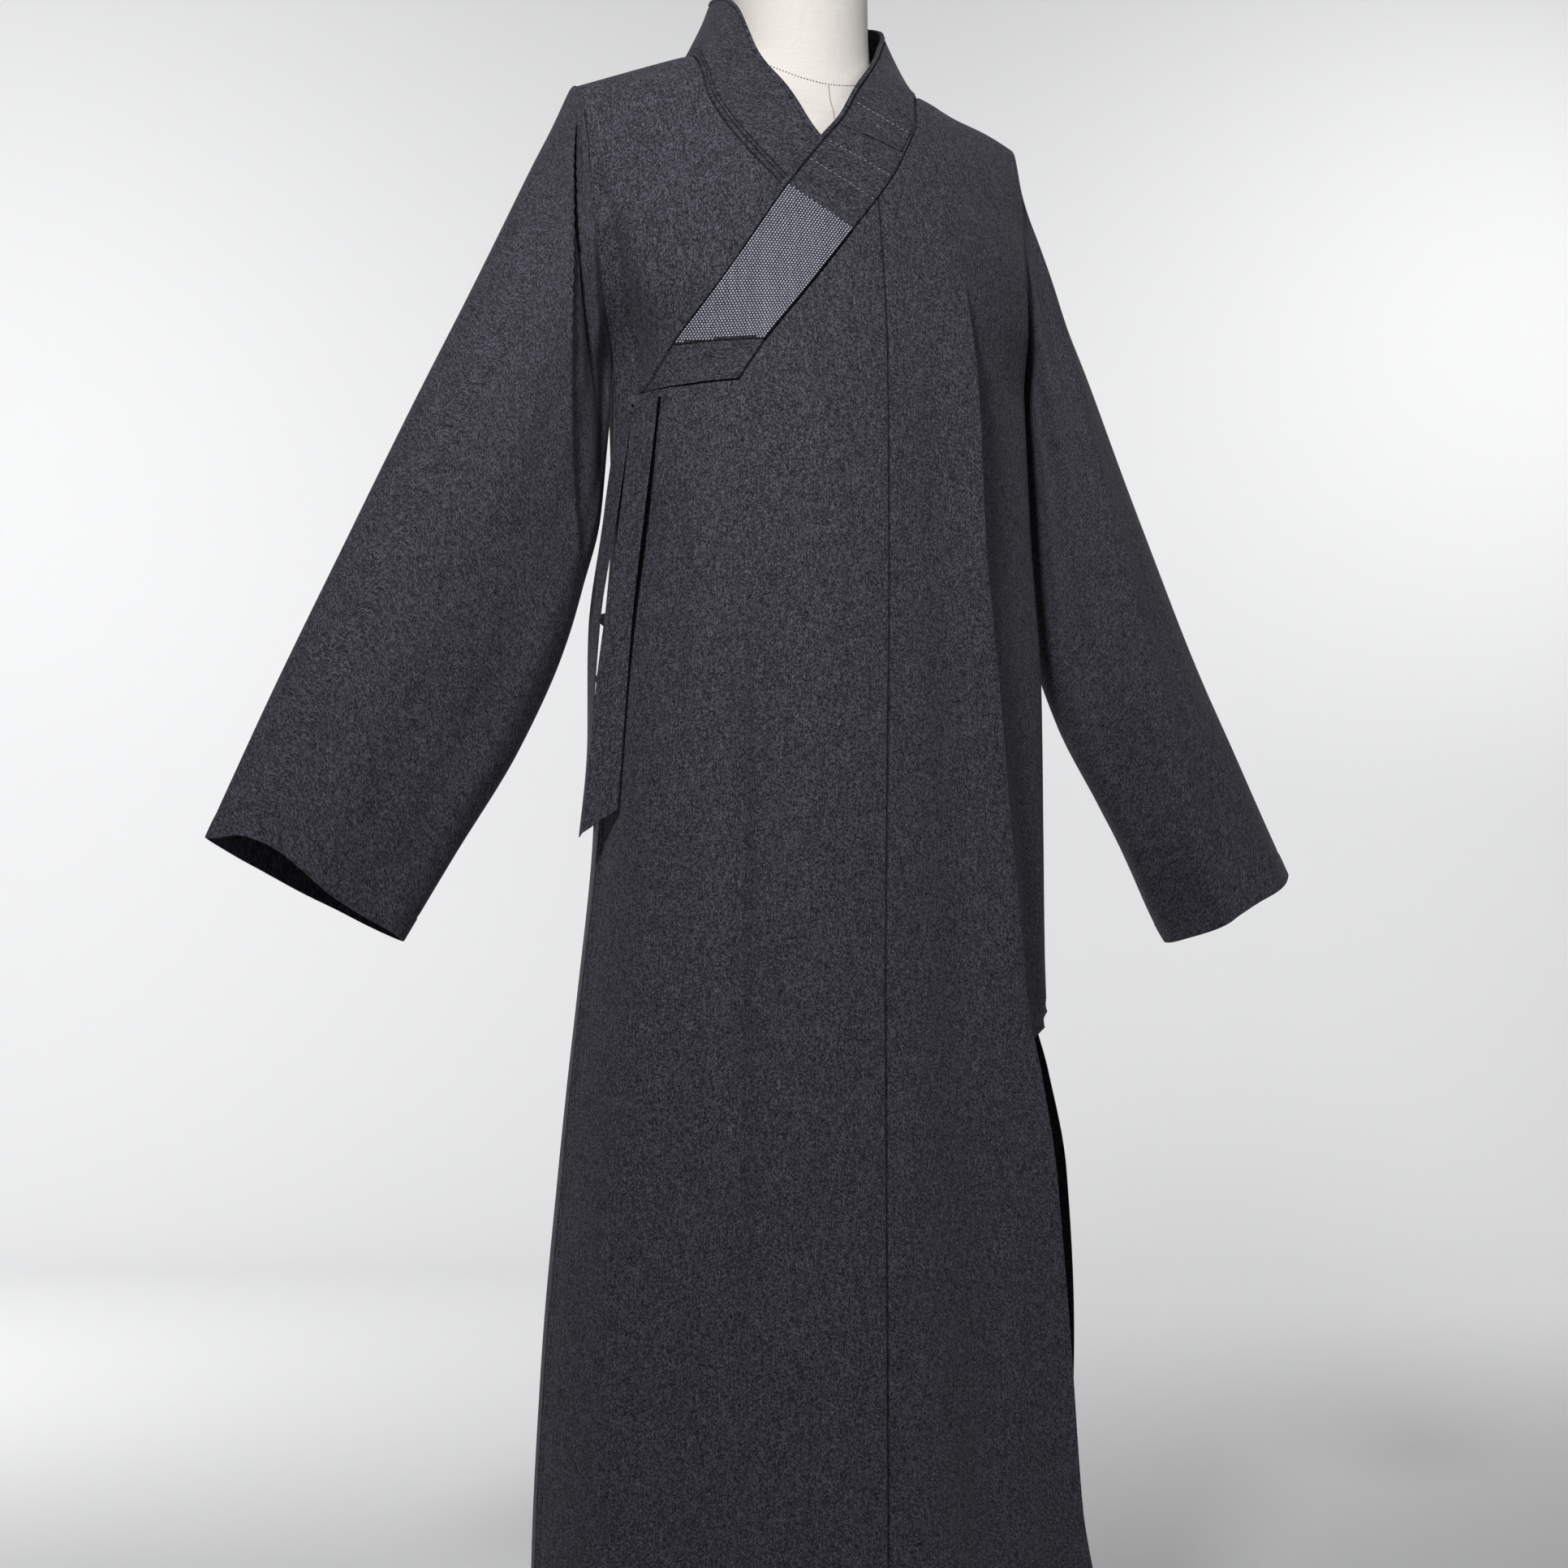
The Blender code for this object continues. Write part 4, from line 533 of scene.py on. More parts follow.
def ridge_height(angle, key):
    """The pressed ridge on the left front: it rises slowly, breaks over an edge and drops to a lower plane."""
    away = angle - LEFT_RIDGE(key)
    before, past = np.minimum(away, 0.0), np.maximum(away, 0.0)
    fallen = 1 - np.exp(-past / RIDGE_BREAK)
    height = RIDGE_HEIGHT * np.exp(before / RIDGE_RISE) * (1 - fallen)
    height = height - RIDGE_DROP * fallen * np.exp(-past / RIDGE_REACH)
    return height * ease((RIDGE_TOP - SHOULDER_Z + key * key) / RIDGE_START)


def wander(angle, level):
    """Slight unevenness of hanging cloth, mostly up and down the body."""
    around = np.radians(angle) * WANDER_RADIUS
    height = np.zeros(np.broadcast(angle, level).shape)
    for across, down, phase, high in WANDERS:
        height = height + high * np.sin(across * around + down * level + phase)
    return height * ease((WANDER_TOP - level) / WANDER_START)


def finite_normal(side, angle, key, surface, turn, step):
    low_angle, high_angle = np.maximum(angle - turn, -90.0), np.minimum(angle + turn, 90.0)
    low_key, high_key = np.maximum(key - step, 0.0), np.minimum(key + step, HEM_KEY + PAST_HEM)
    across = surface(side, high_angle, key) - surface(side, low_angle, key)
    down = surface(side, angle, high_key) - surface(side, angle, low_key)
    normal = np.cross(across, down)
    return unit(-normal if side == "front" else normal)


def folded_point(side, angle, key):
    normal = finite_normal(side, angle, key, plain_point, *PLAIN_PROBE)
    return plain_point(side, angle, key) + normal * fold_height(side, angle, key)[..., None]


def under_share(angle, key):
    """0 where the right front shows as the outer layer, 1 where it lies under the overlap."""
    level = SHOULDER_Z - key * key
    return ease((UNDER_TOP - level) / UNDER_START) * ease((angle + 90.0) / (OVERLAP_SIDE + 90.0))


def body_point(side, angle, key, layer="outer"):
    """Points on the outside of a layer of the body, and the normals there."""
    angle, key = np.broadcast_arrays(np.asarray(angle, float), np.asarray(key, float))
    normal = finite_normal(side, angle, key, folded_point, *FOLDED_PROBE)
    point = folded_point(side, angle, key)
    if layer == "under":
        point = point - normal * (UNDER_STEP * under_share(angle, key))[..., None]
    return point, normal


def collar_curves(table, layer):
    """Curves of a collar band's seam and edge along its rows."""
    rows = []
    for seam_x, seam_level, edge_x, edge_y, edge_z, lying in table:
        if edge_y is None:
            key = level_key(edge_z)
            edge_y = float(body_point("front", angle_at(edge_x, key), key, layer)[0][1])
        rows.append((seam_x, seam_level, edge_x, edge_y, edge_z, lying))
    return column_curves(rows)


OVER = collar_curves(OVER_COLLAR, "outer")
UNDER = collar_curves(UNDER_COLLAR, "under")


def collar_seam(curves, row, layer):
    key = level_key(curves[1](row))
    angle = angle_at(curves[0](row), key)
    front = body_point("front", angle, key, layer)[0]
    back = body_point("back", angle, key)[0]
    return np.where((row < NECK_ROW)[..., None], back, front)


def collar_surface(curves, row, cross, layer="outer"):
    """Points of a collar band: rows run along it, cross from the seam to the free edge."""
    seam = collar_seam(curves, row, layer)
    edge = np.stack([curves[i](row) for i in (2, 3, 4)], -1)
    point = mix(seam, edge, cross[..., None])
    key = level_key(point[..., 2])
    on_body = body_point("front", angle_at(point[..., 0], key), key, layer)[0]
    point[..., 1] = mix(point[..., 1], on_body[..., 1], curves[5](row))
    return point


def grid_normals(points, outward):
    """Normals of a grid, turned to the side that the outward vector at its middle shows."""
    normals = unit(np.cross(np.gradient(points, axis=1), np.gradient(points, axis=0)))
    middle = normals[normals.shape[0] // 2, normals.shape[1] // 2]
    return normals if np.dot(middle, outward) > 0 else -normals


def faced(normals, points):
    """Normals turned away from the body's upright axis."""
    outward = points * (1.0, 1.0, 0.0)
    return np.where(np.sum(normals * outward, -1, keepdims=True) > 0, normals, -normals)


def arc_lengths(points):
    """Distances along the rows and down the columns, as the cloth lay before it hung."""
    across = np.linalg.norm(np.diff(points, axis=1), axis=-1)
    down = np.linalg.norm(np.diff(points, axis=0), axis=-1)
    u = np.concatenate((np.zeros((points.shape[0], 1)), np.cumsum(across, axis=1)), axis=1)
    v = np.concatenate((np.zeros((1, points.shape[1])), np.cumsum(down, axis=0)), axis=0)
    return u, v


def grain_table(side, reference):
    """Distances over the body's cloth, across it from the reference angle and down it from the shoulder."""
    keys, angles = np.linspace(0.0, HEM_KEY, GRAIN_KEYS), np.linspace(-90.0, 90.0, GRAIN_ANGLES)
    u, v = arc_lengths(folded_point(side, angles[None, :], keys[:, None]))
    zero = np.array([np.interp(start, angles, row) for start, row in zip(reference(keys), u)])
    return np.stack((u - zero[:, None], v), -1)


GRAIN = {"front": grain_table("front", SEAM_ANGLE), "back": grain_table("back", lambda keys: 0 * keys)}


def body_grain(side, angle, key):
    """The straight grain runs down the centre seams, and the flare widens the panels towards the sides."""
    down = np.clip(key / HEM_KEY, 0.0, 1.0) * (GRAIN_KEYS - 1)
    across = np.clip(angle / 180.0 + 0.5, 0.0, 1.0) * (GRAIN_ANGLES - 1)
    i = np.minimum(down.astype(int), GRAIN_KEYS - 2)
    j = np.minimum(across.astype(int), GRAIN_ANGLES - 2)
    table, down, across = GRAIN[side], (down - i)[..., None], (across - j)[..., None]
    upper = mix(table[i, j], table[i, j + 1], across)
    lower = mix(table[i + 1, j], table[i + 1, j + 1], across)
    return mix(upper, lower, down)


def link_object(name, data):
    piece = bpy.data.objects.new(name, data)
    bpy.context.scene.collection.objects.link(piece)
    return piece


def make_mesh(name, points, faces, material, grain=None, seam=None):
    """An object from points and faces, with the grain as a map in metres and how deep each point lies in a seam,
    which the suiting turns into painted shade.
    """
    mesh = bpy.data.meshes.new(name)
    mesh.from_pydata(np.asarray(points).tolist(), [], faces)
    if grain is not None:
        corners = np.zeros(len(mesh.loops), np.int32)
        mesh.loops.foreach_get("vertex_index", corners)
        layer = mesh.uv_layers.new(name="grain")
        layer.data.foreach_set("uv", np.asarray(grain)[corners].astype(np.float32).ravel())
    if seam is not None:
        # The seam depth as an attribute, by which the suiting's colour is darkened: painted shade in the seams
        mesh.attributes.new("seam", "FLOAT", "POINT").data.foreach_set("value", np.asarray(seam, np.float32))
    mesh.shade_smooth()
    mesh.set_sharp_from_angle(angle=SHARP_ANGLE)
    mesh.materials.append(material)
    return link_object(name, mesh)


def grid_quads(here, after):
    """Quads between a grid's indices and the next column's."""
    return np.stack((here[:-1], after[:-1], after[1:], here[1:]), -1).reshape(-1, 4)


def cloth_wall(name, points, normals, wall, material, relief=None, grain=None):
    """A wall of cloth from a grid: its outer face, its inner face one wall below, and the rim that joins them."""
    if grain is None:
        grain = np.stack(arc_lengths(points)[::-1], -1)
    grain = grain.reshape(-1, 2)
    outer = points if relief is None else points + normals * relief[..., None]
    inner = points - normals * wall
    count = points.shape[0] * points.shape[1]
    index = np.arange(count).reshape(points.shape[:2])
    quads = grid_quads(index[:, :-1], index[:, 1:])
    ring = np.concatenate((index[0, :-1], index[:-1, -1], index[-1, :0:-1], index[:0:-1, 0]))
    after = np.roll(ring, -1)
    rim = np.stack((after, ring, ring + count, after + count), -1)
    faces = np.concatenate((quads, quads[:, ::-1] + count, rim))
    first = np.cross(points[0, 1] - points[0, 0], points[1, 0] - points[0, 0])
    if np.dot(first, normals[0, 0]) > 0:
        faces = faces[:, ::-1]
    verts = np.concatenate((outer.reshape(-1, 3), inner.reshape(-1, 3)))
    # How deep each point of the outer face lies in a dip, seam or stitched line, as a share of a seam's depth: the
    # mask for the painted shade there
    seam = np.zeros(len(verts))
    if relief is not None:
        seam[:count] = np.clip(-relief.ravel() / SEAM_DEPTH, 0.0, 1.0)
    return make_mesh(name, verts, faces.tolist(), material, np.concatenate((grain, grain)), seam)


def closed_tube(name, points, material, grain, repeated=False):
    """A tube from rings of points, closed at both ends. A repeated first column lets the grain run all round."""
    index = np.arange(points.shape[0] * points.shape[1]).reshape(points.shape[:2])
    here, after = (index[:, :-1], index[:, 1:]) if repeated else (index, np.roll(index, -1, axis=1))
    quads = np.stack((here[:-1], here[1:], after[1:], after[:-1]), -1)
    # The corner that a quad starts at settles how it splits into triangles
    quads = np.roll(quads, int(repeated), axis=-1).reshape(-1, 4).tolist()
    caps = [here[0].tolist(), here[-1, ::-1].tolist()]
    return make_mesh(name, points.reshape(-1, 3), quads + caps, material, grain.reshape(-1, 2))


# Panels

def collar_lookup(curves, last):
    """Dense rows of a collar's seam on the front, with the key and angle at each."""
    rows = np.linspace(NECK_ROW, last, LOOKUP_ROWS)
    keys = level_key(curves[1](rows))
    return keys, angle_at(curves[0](rows), keys)


OVER_KEYS, OVER_ANGLES = collar_lookup(OVER, COLLAR_END)
UNDER_KEYS, UNDER_ANGLES = collar_lookup(UNDER, len(UNDER_COLLAR) - 1)
SEAM_INDEX = int(np.argmax(OVER_ANGLES < SEAM_ANGLE(OVER_KEYS)))     # where the over collar meets the front seam


def column_angle(share, ridge, start, end):
    """Columns run from the start angle through a ridge line, at share 1, to the end angle, at share 2."""
    return np.where(share <= 1, mix(start, ridge, share), mix(ridge, end, share - 1))


def rows_down(top):
    """Keys from a panel's top line to the hem, close together at the top seam and at the hem's stitches."""
    steps = np.concatenate((TOP_STEPS, np.linspace(BELOW_TOP, 1.0, PANEL_ROWS)))[:, None]
    above = mix(top[None, :], level_key(HEM_Z + HEM_STEPS[0]), steps)
    below = level_key(HEM_Z + np.array(HEM_STEPS[1:]))[:, None] + 0 * top[None, :]
    return np.concatenate((above, below))


def panel_columns():
    """Shares of a panel's columns, close together where a seam runs down each end."""
    even = np.linspace(BESIDE_EDGE, 2.0 - BESIDE_EDGE, PANEL_COLUMNS)
    return np.concatenate((EDGE_STEPS, even, 2.0 - EDGE_STEPS[::-1]))


def seam_dip(distance):
    """The cloth turns in towards a sewn seam."""
    return -SEAM_DEPTH * bump(distance, SEAM_WIDTH)


def border(distance, sizes):
    """A turned edge: a slightly thicker border, with a stitched line beside it."""
    wide, thick, rise, line, deep, width = sizes
    return thick * ease((wide - distance) / rise) - deep * bump(distance - line, width)


def build_panel(name, side, angle, key, material, layer="outer", shift=0.0, top_seam=0.0, far_border=None):
    """A panel's wall. The near edge is a seam, and so is the far edge below the arm, unless it has a border."""
    facing = -1 if side == "front" else 1
    points, _ = body_point(side, angle, key, layer)
    normals = grid_normals(points, (0, facing, 0))
    u, v = arc_lengths(points)
    to_far = u[:, -1:] - u
    if far_border is None:
        far = seam_dip(to_far) * ease((key - UNDERARM_KEY) / UNDERARM_FADE)
    else:
        far = border(to_far, far_border)
    if side == "back":
        top_seam = ease((NECK_SIDE_X - np.abs(points[:1, :, 0])) / NECK_FADE)
    relief = seam_dip(u) + far + seam_dip(v) * top_seam + border(points[..., 2] - HEM_Z, HEM_BORDER)
    points[:, 0, 0] += shift
    points[..., 1] += facing * TOUCH
    return cloth_wall("robe_" + name, points, normals, CLOTH, material, relief, body_grain(side, angle, key))


def build_left_front(material):
    share = panel_columns()[None, :]
    key = rows_down(0 * share[0])
    start = np.where(key < OVER_KEYS[SEAM_INDEX], np.interp(key, OVER_KEYS, OVER_ANGLES), SEAM_ANGLE(key))
    swing = ease((SLIT_Z - SHOULDER_Z + key * key) / SLIT_SWING)
    end = mix(90.0, LEFT_RIDGE(key) + SLIT_MARGIN, swing)
    angle = column_angle(share, LEFT_RIDGE(key), start, end)
    return build_panel("left_front", "front", angle, key, material, shift=SEAM_GAP / 2)


def band_end_level(angle):
    """The lower end of the over collar, from its seam to its edge."""
    seam, edge = OVER_COLLAR[-1][:2], (OVER_COLLAR[-1][2], OVER_COLLAR[-1][4])
    seam_angle, edge_angle = (float(angle_at(x, level_key(z))) for x, z in (seam, edge))
    return mix(seam[1], edge[1], np.clip((angle - seam_angle) / (edge_angle - seam_angle), 0.0, PAST_EDGE))


def build_outer_overlap(material):
    """Its top runs down the over collar's seam to the collar's corner, then along the collar's end."""
    ridge, start = OVERLAP_RIDGE(OVER_KEYS), SEAM_ANGLE(OVER_KEYS)
    shares = ((start - OVER_ANGLES) / (start - ridge))[SEAM_INDEX:]
    corner, (before, past) = shares[-1], OVERLAP_COLUMNS
    share = np.concatenate((EDGE_STEPS, np.linspace(BESIDE_EDGE, corner, before, endpoint=False),
                            np.linspace(corner, 2.0 - BESIDE_EDGE, past), 2.0 - EDGE_STEPS[::-1]))
    end_key = OVER_KEYS[-1]
    at_end = column_angle(share, OVERLAP_RIDGE(end_key), SEAM_ANGLE(end_key), OVERLAP_SIDE)
    below_end = level_key(band_end_level(at_end) - END_GAP)
    key = rows_down(np.where(share > corner, below_end, np.interp(share, shares, OVER_KEYS[SEAM_INDEX:])))
    angle = column_angle(share[None, :], OVERLAP_RIDGE(key), SEAM_ANGLE(key), OVERLAP_SIDE)
    return build_panel("outer_overlap", "front", angle, key, material, shift=-SEAM_GAP / 2, top_seam=1.0,
                       far_border=OVERLAP_BORDER)


def build_right_front(material):
    share = panel_columns()[None, :] / 2
    key = rows_down(0 * share[0])
    start = np.where(key < UNDER_KEYS[-1], np.interp(key, UNDER_KEYS, UNDER_ANGLES), UNDER_EDGE)
    return build_panel("right_front", "front", mix(start, -90.0, share), key, material, layer="under")


def build_back(name, material):
    """Its top follows the back neckline, which is found by going back and forth between key and angle."""
    sign = sleeve_sign(name)
    ridge = BACK_RIGHT_RIDGE if name == "right" else BACK_LEFT_RIDGE
    share = panel_columns()
    rows = np.linspace(0, NECK_ROW, ARM_ROWS)
    neck_x, neck_keys = OVER[0](rows), level_key(OVER[1](rows))
    top = np.zeros(len(share))
    for _ in range(NECK_TRIES):
        angle = column_angle(share, ridge(top), 0.0, 90.0 * sign)
        top = np.interp(np.abs(half_width(angle, top) * np.sin(np.radians(angle))), neck_x, neck_keys, right=0.0)
    key = rows_down(top)
    angle = column_angle(share[None, :], ridge(key), 0.0, 90.0 * sign)
    return build_panel("back_" + name, "back", angle, key, material, shift=sign * SEAM_GAP / 2)


# Sleeves

def sleeve_sign(name):
    return -1.0 if name == "right" else 1.0


SLEEVES = {name: column_curves(table, np.linspace(0.0, 1.0, len(table)))
           for name, table in (("right", RIGHT_SLEEVE), ("left", LEFT_SLEEVE))}
ARM_KEYS = np.linspace(0.0, UNDERARM_KEY, ARM_ROWS)
ARM_LEVELS = plain_point("front", 90.0, ARM_KEYS)[:, 2]
ARM_SHARES = (ARM_LEVELS[0] - ARM_LEVELS) / (ARM_LEVELS[0] - UNDERARM_Z)


def sleeve_point(name, side, length, share):
    """Points of a sleeve: length runs from armhole to cuff, share from the top edge to the bottom edge."""
    front, to_edge = side == "front", np.minimum(share, 1 - share)
    if front:
        opening, spread, drawn = CUFF_FRONT[name]
        length = length - drawn * bump(share - opening, spread) * ease(to_edge / CUFF_FADE) * length ** CUFF_POWER
    top_x, top_z, bottom_x, bottom_z, depth = (curve(length) for curve in SLEEVES[name])
    key = np.interp(share, ARM_SHARES, ARM_KEYS)
    edge_x = np.abs(plain_point(side, 90.0 * sleeve_sign(name), key)[..., 0])
    root_x = mix(SLEEVES[name][0](0.0), SLEEVES[name][2](0.0), share)
    x = mix(top_x, bottom_x, share) + (edge_x - root_x) * (1 - ease(length / ROOT_REACH))
    pointed = ease((share - 0.5) / 0.5) * (1 - ease(length / POINT_REACH)) * (front and name == "right")
    round_depth = depth * (2 * np.sqrt(np.maximum(share * (1 - share), 0.0))) ** (1 + POINTED * pointed)
    y = mix((ARM_FRONT if front else ARM_BACK)(key), round_depth, ease(length / ROUND_REACH))
    height = np.zeros_like(y)
    for at_arm, at_cuff, high_arm, high_cuff, width in SLEEVE_FOLDS[name, side]:
        swell = mix(high_arm, high_cuff, length) * ease(length / SLEEVE_START)
        height = height + swell * bump(share - mix(at_arm, at_cuff, length), width)
    for high, along, across, phase in SLEEVE_WANDERS:
        height = height + high * np.sin(along * length + across * share + phase)
    if front and name == "right":
        height = height + armpit_folds(length, share)
    low_back = LOW_BACK[name] * ease((share - LOW_SHARE) / (1 - LOW_SHARE))
    low_back = low_back * ease((length - LOW_START) / (1 - LOW_START)) * (-1 if front else 1)
    y = y + height * ease(to_edge / SLEEVE_EDGE) + low_back
    return np.stack((x * sleeve_sign(name), -y if front else y, mix(top_z, bottom_z, share)), -1)


def armpit_folds(length, share):
    """The sleeve's flat face ends at a pressed edge, then come a trough and a narrow roll beside the body."""
    edge, trough, lit = (np.interp(share, *zip(*line)) for line in (FACE_EDGE, TROUGH_LINE, LIT_LINE))
    inside = np.maximum(edge - length, 0.0)
    face = FACE_LIP * np.exp(-np.abs(edge - length) / FACE_BREAK) - FACE_DROP * (1 - np.exp(-inside / FACE_BREAK))
    face = face * ease((share - ARMPIT_TOP) / FACE_START) * ease((FACE_END - share) / ARMPIT_FADE)
    roll = LIT_HEIGHT * bump(length - lit, LIT_WIDTH) - TROUGH_DEPTH * bump(length - trough, TROUGH_WIDTH)
    roll = roll * ease((share - ARMPIT_TOP) / ARMPIT_FADE) * ease((ROLL_END - share) / ARMPIT_FADE)
    return face * ease(length / ARMPIT_FADE) + roll


def build_sleeve(name, material):
    """Rings from the armhole to the cuff, which start and end at the seam under the arm."""
    length = np.concatenate((np.linspace(0.0, BEFORE_CUFF, SLEEVE_ROWS), CUFF_STEPS))[:, None]
    turn = np.linspace(0.0, 2 * math.pi, SLEEVE_COLUMNS)[None, :]
    share = (1 + np.cos(turn)) / 2 + 0 * length
    front, back = (sleeve_point(name, side, length, share) for side in ("front", "back"))
    points = np.where((turn <= math.pi)[..., None], front, back)
    points[..., 0] += sleeve_sign(name) * TOUCH
    _, v = arc_lengths(points)
    normals = unit(np.cross(np.gradient(points, axis=1), np.gradient(points, axis=0)))
    if normals[SLEEVE_ROWS // 2, SLEEVE_COLUMNS // 4, 1] > 0:
        normals = -normals
    ends = unit(normals[:, 0] + normals[:, -1])
    normals[:, 0], normals[:, -1] = ends, ends
    relief = border(v[-1:] - v, CUFF_BORDER)
    return cloth_wall("robe_%s_sleeve" % name, points, normals, CLOTH, material, relief)


# Collar bands and what lies on the over collar

def band_grid(curves, rows, crosses, layer="outer", lift=0.0):
    """Points and normals of a part of a band, with the distances from its seam and from its free edge."""
    row, cross = np.meshgrid(rows, crosses, indexing="ij")
    points = collar_surface(curves, row, cross, layer)
    middle = points[len(rows) // 2, len(crosses) // 2]
    normals = grid_normals(points, (middle[0], middle[1], 0.0))
    raised = lift + (BAND_RAISE * curves[5](row) if curves is OVER else 0.0)
    sides = (collar_surface(curves, row, np.full(row.shape, end), layer) for end in (1.0, 0.0))
    width = np.linalg.norm(np.subtract(*sides), axis=-1)
    return points + normals * np.asarray(raised)[..., None], normals, cross * width, (1 - cross) * width, row


def band_crosses():
    """Places across a band, close together along its seam and its free edge."""
    return np.concatenate((BAND_EDGE, *(np.linspace(*part) for part in BAND_PARTS)))


def build_over_collar(material):
    close = END_FOLD_ROW + np.linspace(*END_FOLD_CLOSE)
    rows = np.sort(np.concatenate((np.linspace(0, COLLAR_END, BAND_ROWS), close)))
    points, normals, from_seam, from_edge, row = band_grid(OVER, rows, band_crosses())
    fold = END_FOLD_DEPTH * bump((row - END_FOLD_ROW) * ROW_LENGTH, END_FOLD_WIDTH)
    relief = border(from_edge, OVER_PIPING) + seam_dip(from_seam) - fold
    points[0, :, 0] += SEAM_GAP / 2
    return cloth_wall("robe_over_collar", points, normals, OVER_BAND, material, relief)


def build_under_collar(material):
    rows = np.linspace(0, len(UNDER_COLLAR) - 1, BAND_ROWS)
    points, normals, from_seam, from_edge, _ = band_grid(UNDER, rows, band_crosses(), "under")
    relief = border(from_edge, UNDER_PIPING) + seam_dip(from_seam)
    insets, depth, width = UNDER_STITCHES
    for inset in insets:
        relief = relief - depth * bump(from_seam - inset, width)
    points[0, :, 0] -= SEAM_GAP / 2
    return cloth_wall("robe_under_collar", points, normals, UNDER_BAND, material, relief)


def build_overlay(name, material):
    """A layer sewn on the over collar. Both its ends lie down on the band."""
    start, end, low_cross, high_cross, lift = OVERLAYS[name]
    rows, crosses = np.linspace(start, end, OVERLAY_ROWS), np.linspace(low_cross, high_cross, OVERLAY_COLUMNS)
    lifts = np.full((len(rows), 1), lift)
    lifts[[0, -1]] -= lift - OVERLAY - END_CLEARANCE
    points, normals, _, _, _ = band_grid(OVER, rows, crosses, lift=lifts)
    return cloth_wall(name, points, normals, OVERLAY, material)


def band_places(row, cross, lift):
    """Points, normals and the directions along and across the band, for stitches."""
    here = collar_surface(OVER, row, cross)
    along = unit(collar_surface(OVER, row + BAND_PROBE, cross) - here)
    across = unit(collar_surface(OVER, row, cross + BAND_PROBE) - here)
    normal = faced(unit(np.cross(along, across)), here)
    return here + normal * (lift + BAND_RAISE * OVER[5](row))[..., None], normal, along, across


def stitch_mesh(name, places, normals, ways, length, width, material):
    """Short rounded stitches, each a spindle that lies along its way and sinks in at both ends."""
    side = unit(np.cross(normals, ways))
    turns = np.linspace(0, 2 * math.pi, STITCH_SIDES, endpoint=False)
    verts = []
    for along, thick, high in STITCH_STATIONS:
        for turn in turns:
            verts.append(places + ways * along * length + side * (math.cos(turn) * thick * width / 2)
                         + normals * (math.sin(turn) * thick * THREAD / 2 + high * THREAD))
    verts = np.stack(verts, 1)
    index = np.arange(verts.shape[1]).reshape(len(STITCH_STATIONS), STITCH_SIDES)
    after = np.roll(index, -1, axis=1)
    pattern = np.concatenate((grid_quads(index, after), index[:1, ::-1], index[-1:]))
    faces = (pattern[None] + verts.shape[1] * np.arange(len(places))[:, None, None]).reshape(-1, STITCH_SIDES)
    return make_mesh(name, verts.reshape(-1, 3), faces.tolist(), material)


def build_quilting(material):
    """Rows of staggered running stitches along the patch."""
    start, end = OVERLAYS["patch_cloth"][0], OVERLAYS["patch_cloth"][1] - QUILT_INSET
    dense = np.linspace(start, end, QUILT_LOOKUP)
    stray, waves, phase = QUILT_UNEVEN
    places = []
    for number, cross in enumerate(np.linspace(*QUILT_CROSSES, QUILT_ROWS)):
        points = collar_surface(OVER, dense, np.full(QUILT_LOOKUP, cross))
        run = np.concatenate(([0.0], np.cumsum(np.linalg.norm(np.diff(points, axis=0), axis=1))))
        spots = np.arange(QUILT_PITCH * QUILT_STAGGER[number % 2], run[-1] - QUILT_END, QUILT_PITCH)
        spots = spots + stray * np.sin(spots * waves + number * phase)
        places.append(np.stack((np.interp(spots, run, dense), np.full(len(spots), cross)), -1))
    places = np.concatenate(places)
    points, normals, along, _ = band_places(places[:, 0], places[:, 1], QUILT_LIFT)
    return stitch_mesh("quilt_stitches", points, normals, along, QUILT_STITCH, QUILT_THREAD, material)


def build_tab_stitches(material):
    (stray, waves), spots, lifts = TAB_UNEVEN, [], []
    for row_a, cross_a, row_b, cross_b, lift in TAB_STITCHES:
        ends = collar_surface(OVER, np.array([row_a, row_b]), np.array([cross_a, cross_b]))
        count = max(int(np.linalg.norm(ends[1] - ends[0]) / TAB_PITCH), 1)
        share = (np.arange(count) + 0.5) / count
        share = share + stray / count * np.sin(waves * np.arange(count))
        spots.append(np.stack((mix(row_a, row_b, share), mix(cross_a, cross_b, share)), -1))
        lifts.append(np.full(count, lift))
    spots, lifts = np.concatenate(spots), np.concatenate(lifts)
    points, normals, _, across = band_places(spots[:, 0], spots[:, 1], lifts)
    return stitch_mesh("tab_stitches", points, normals, across, TAB_STITCH, TAB_THREAD, material)


# Ties, knots and loops

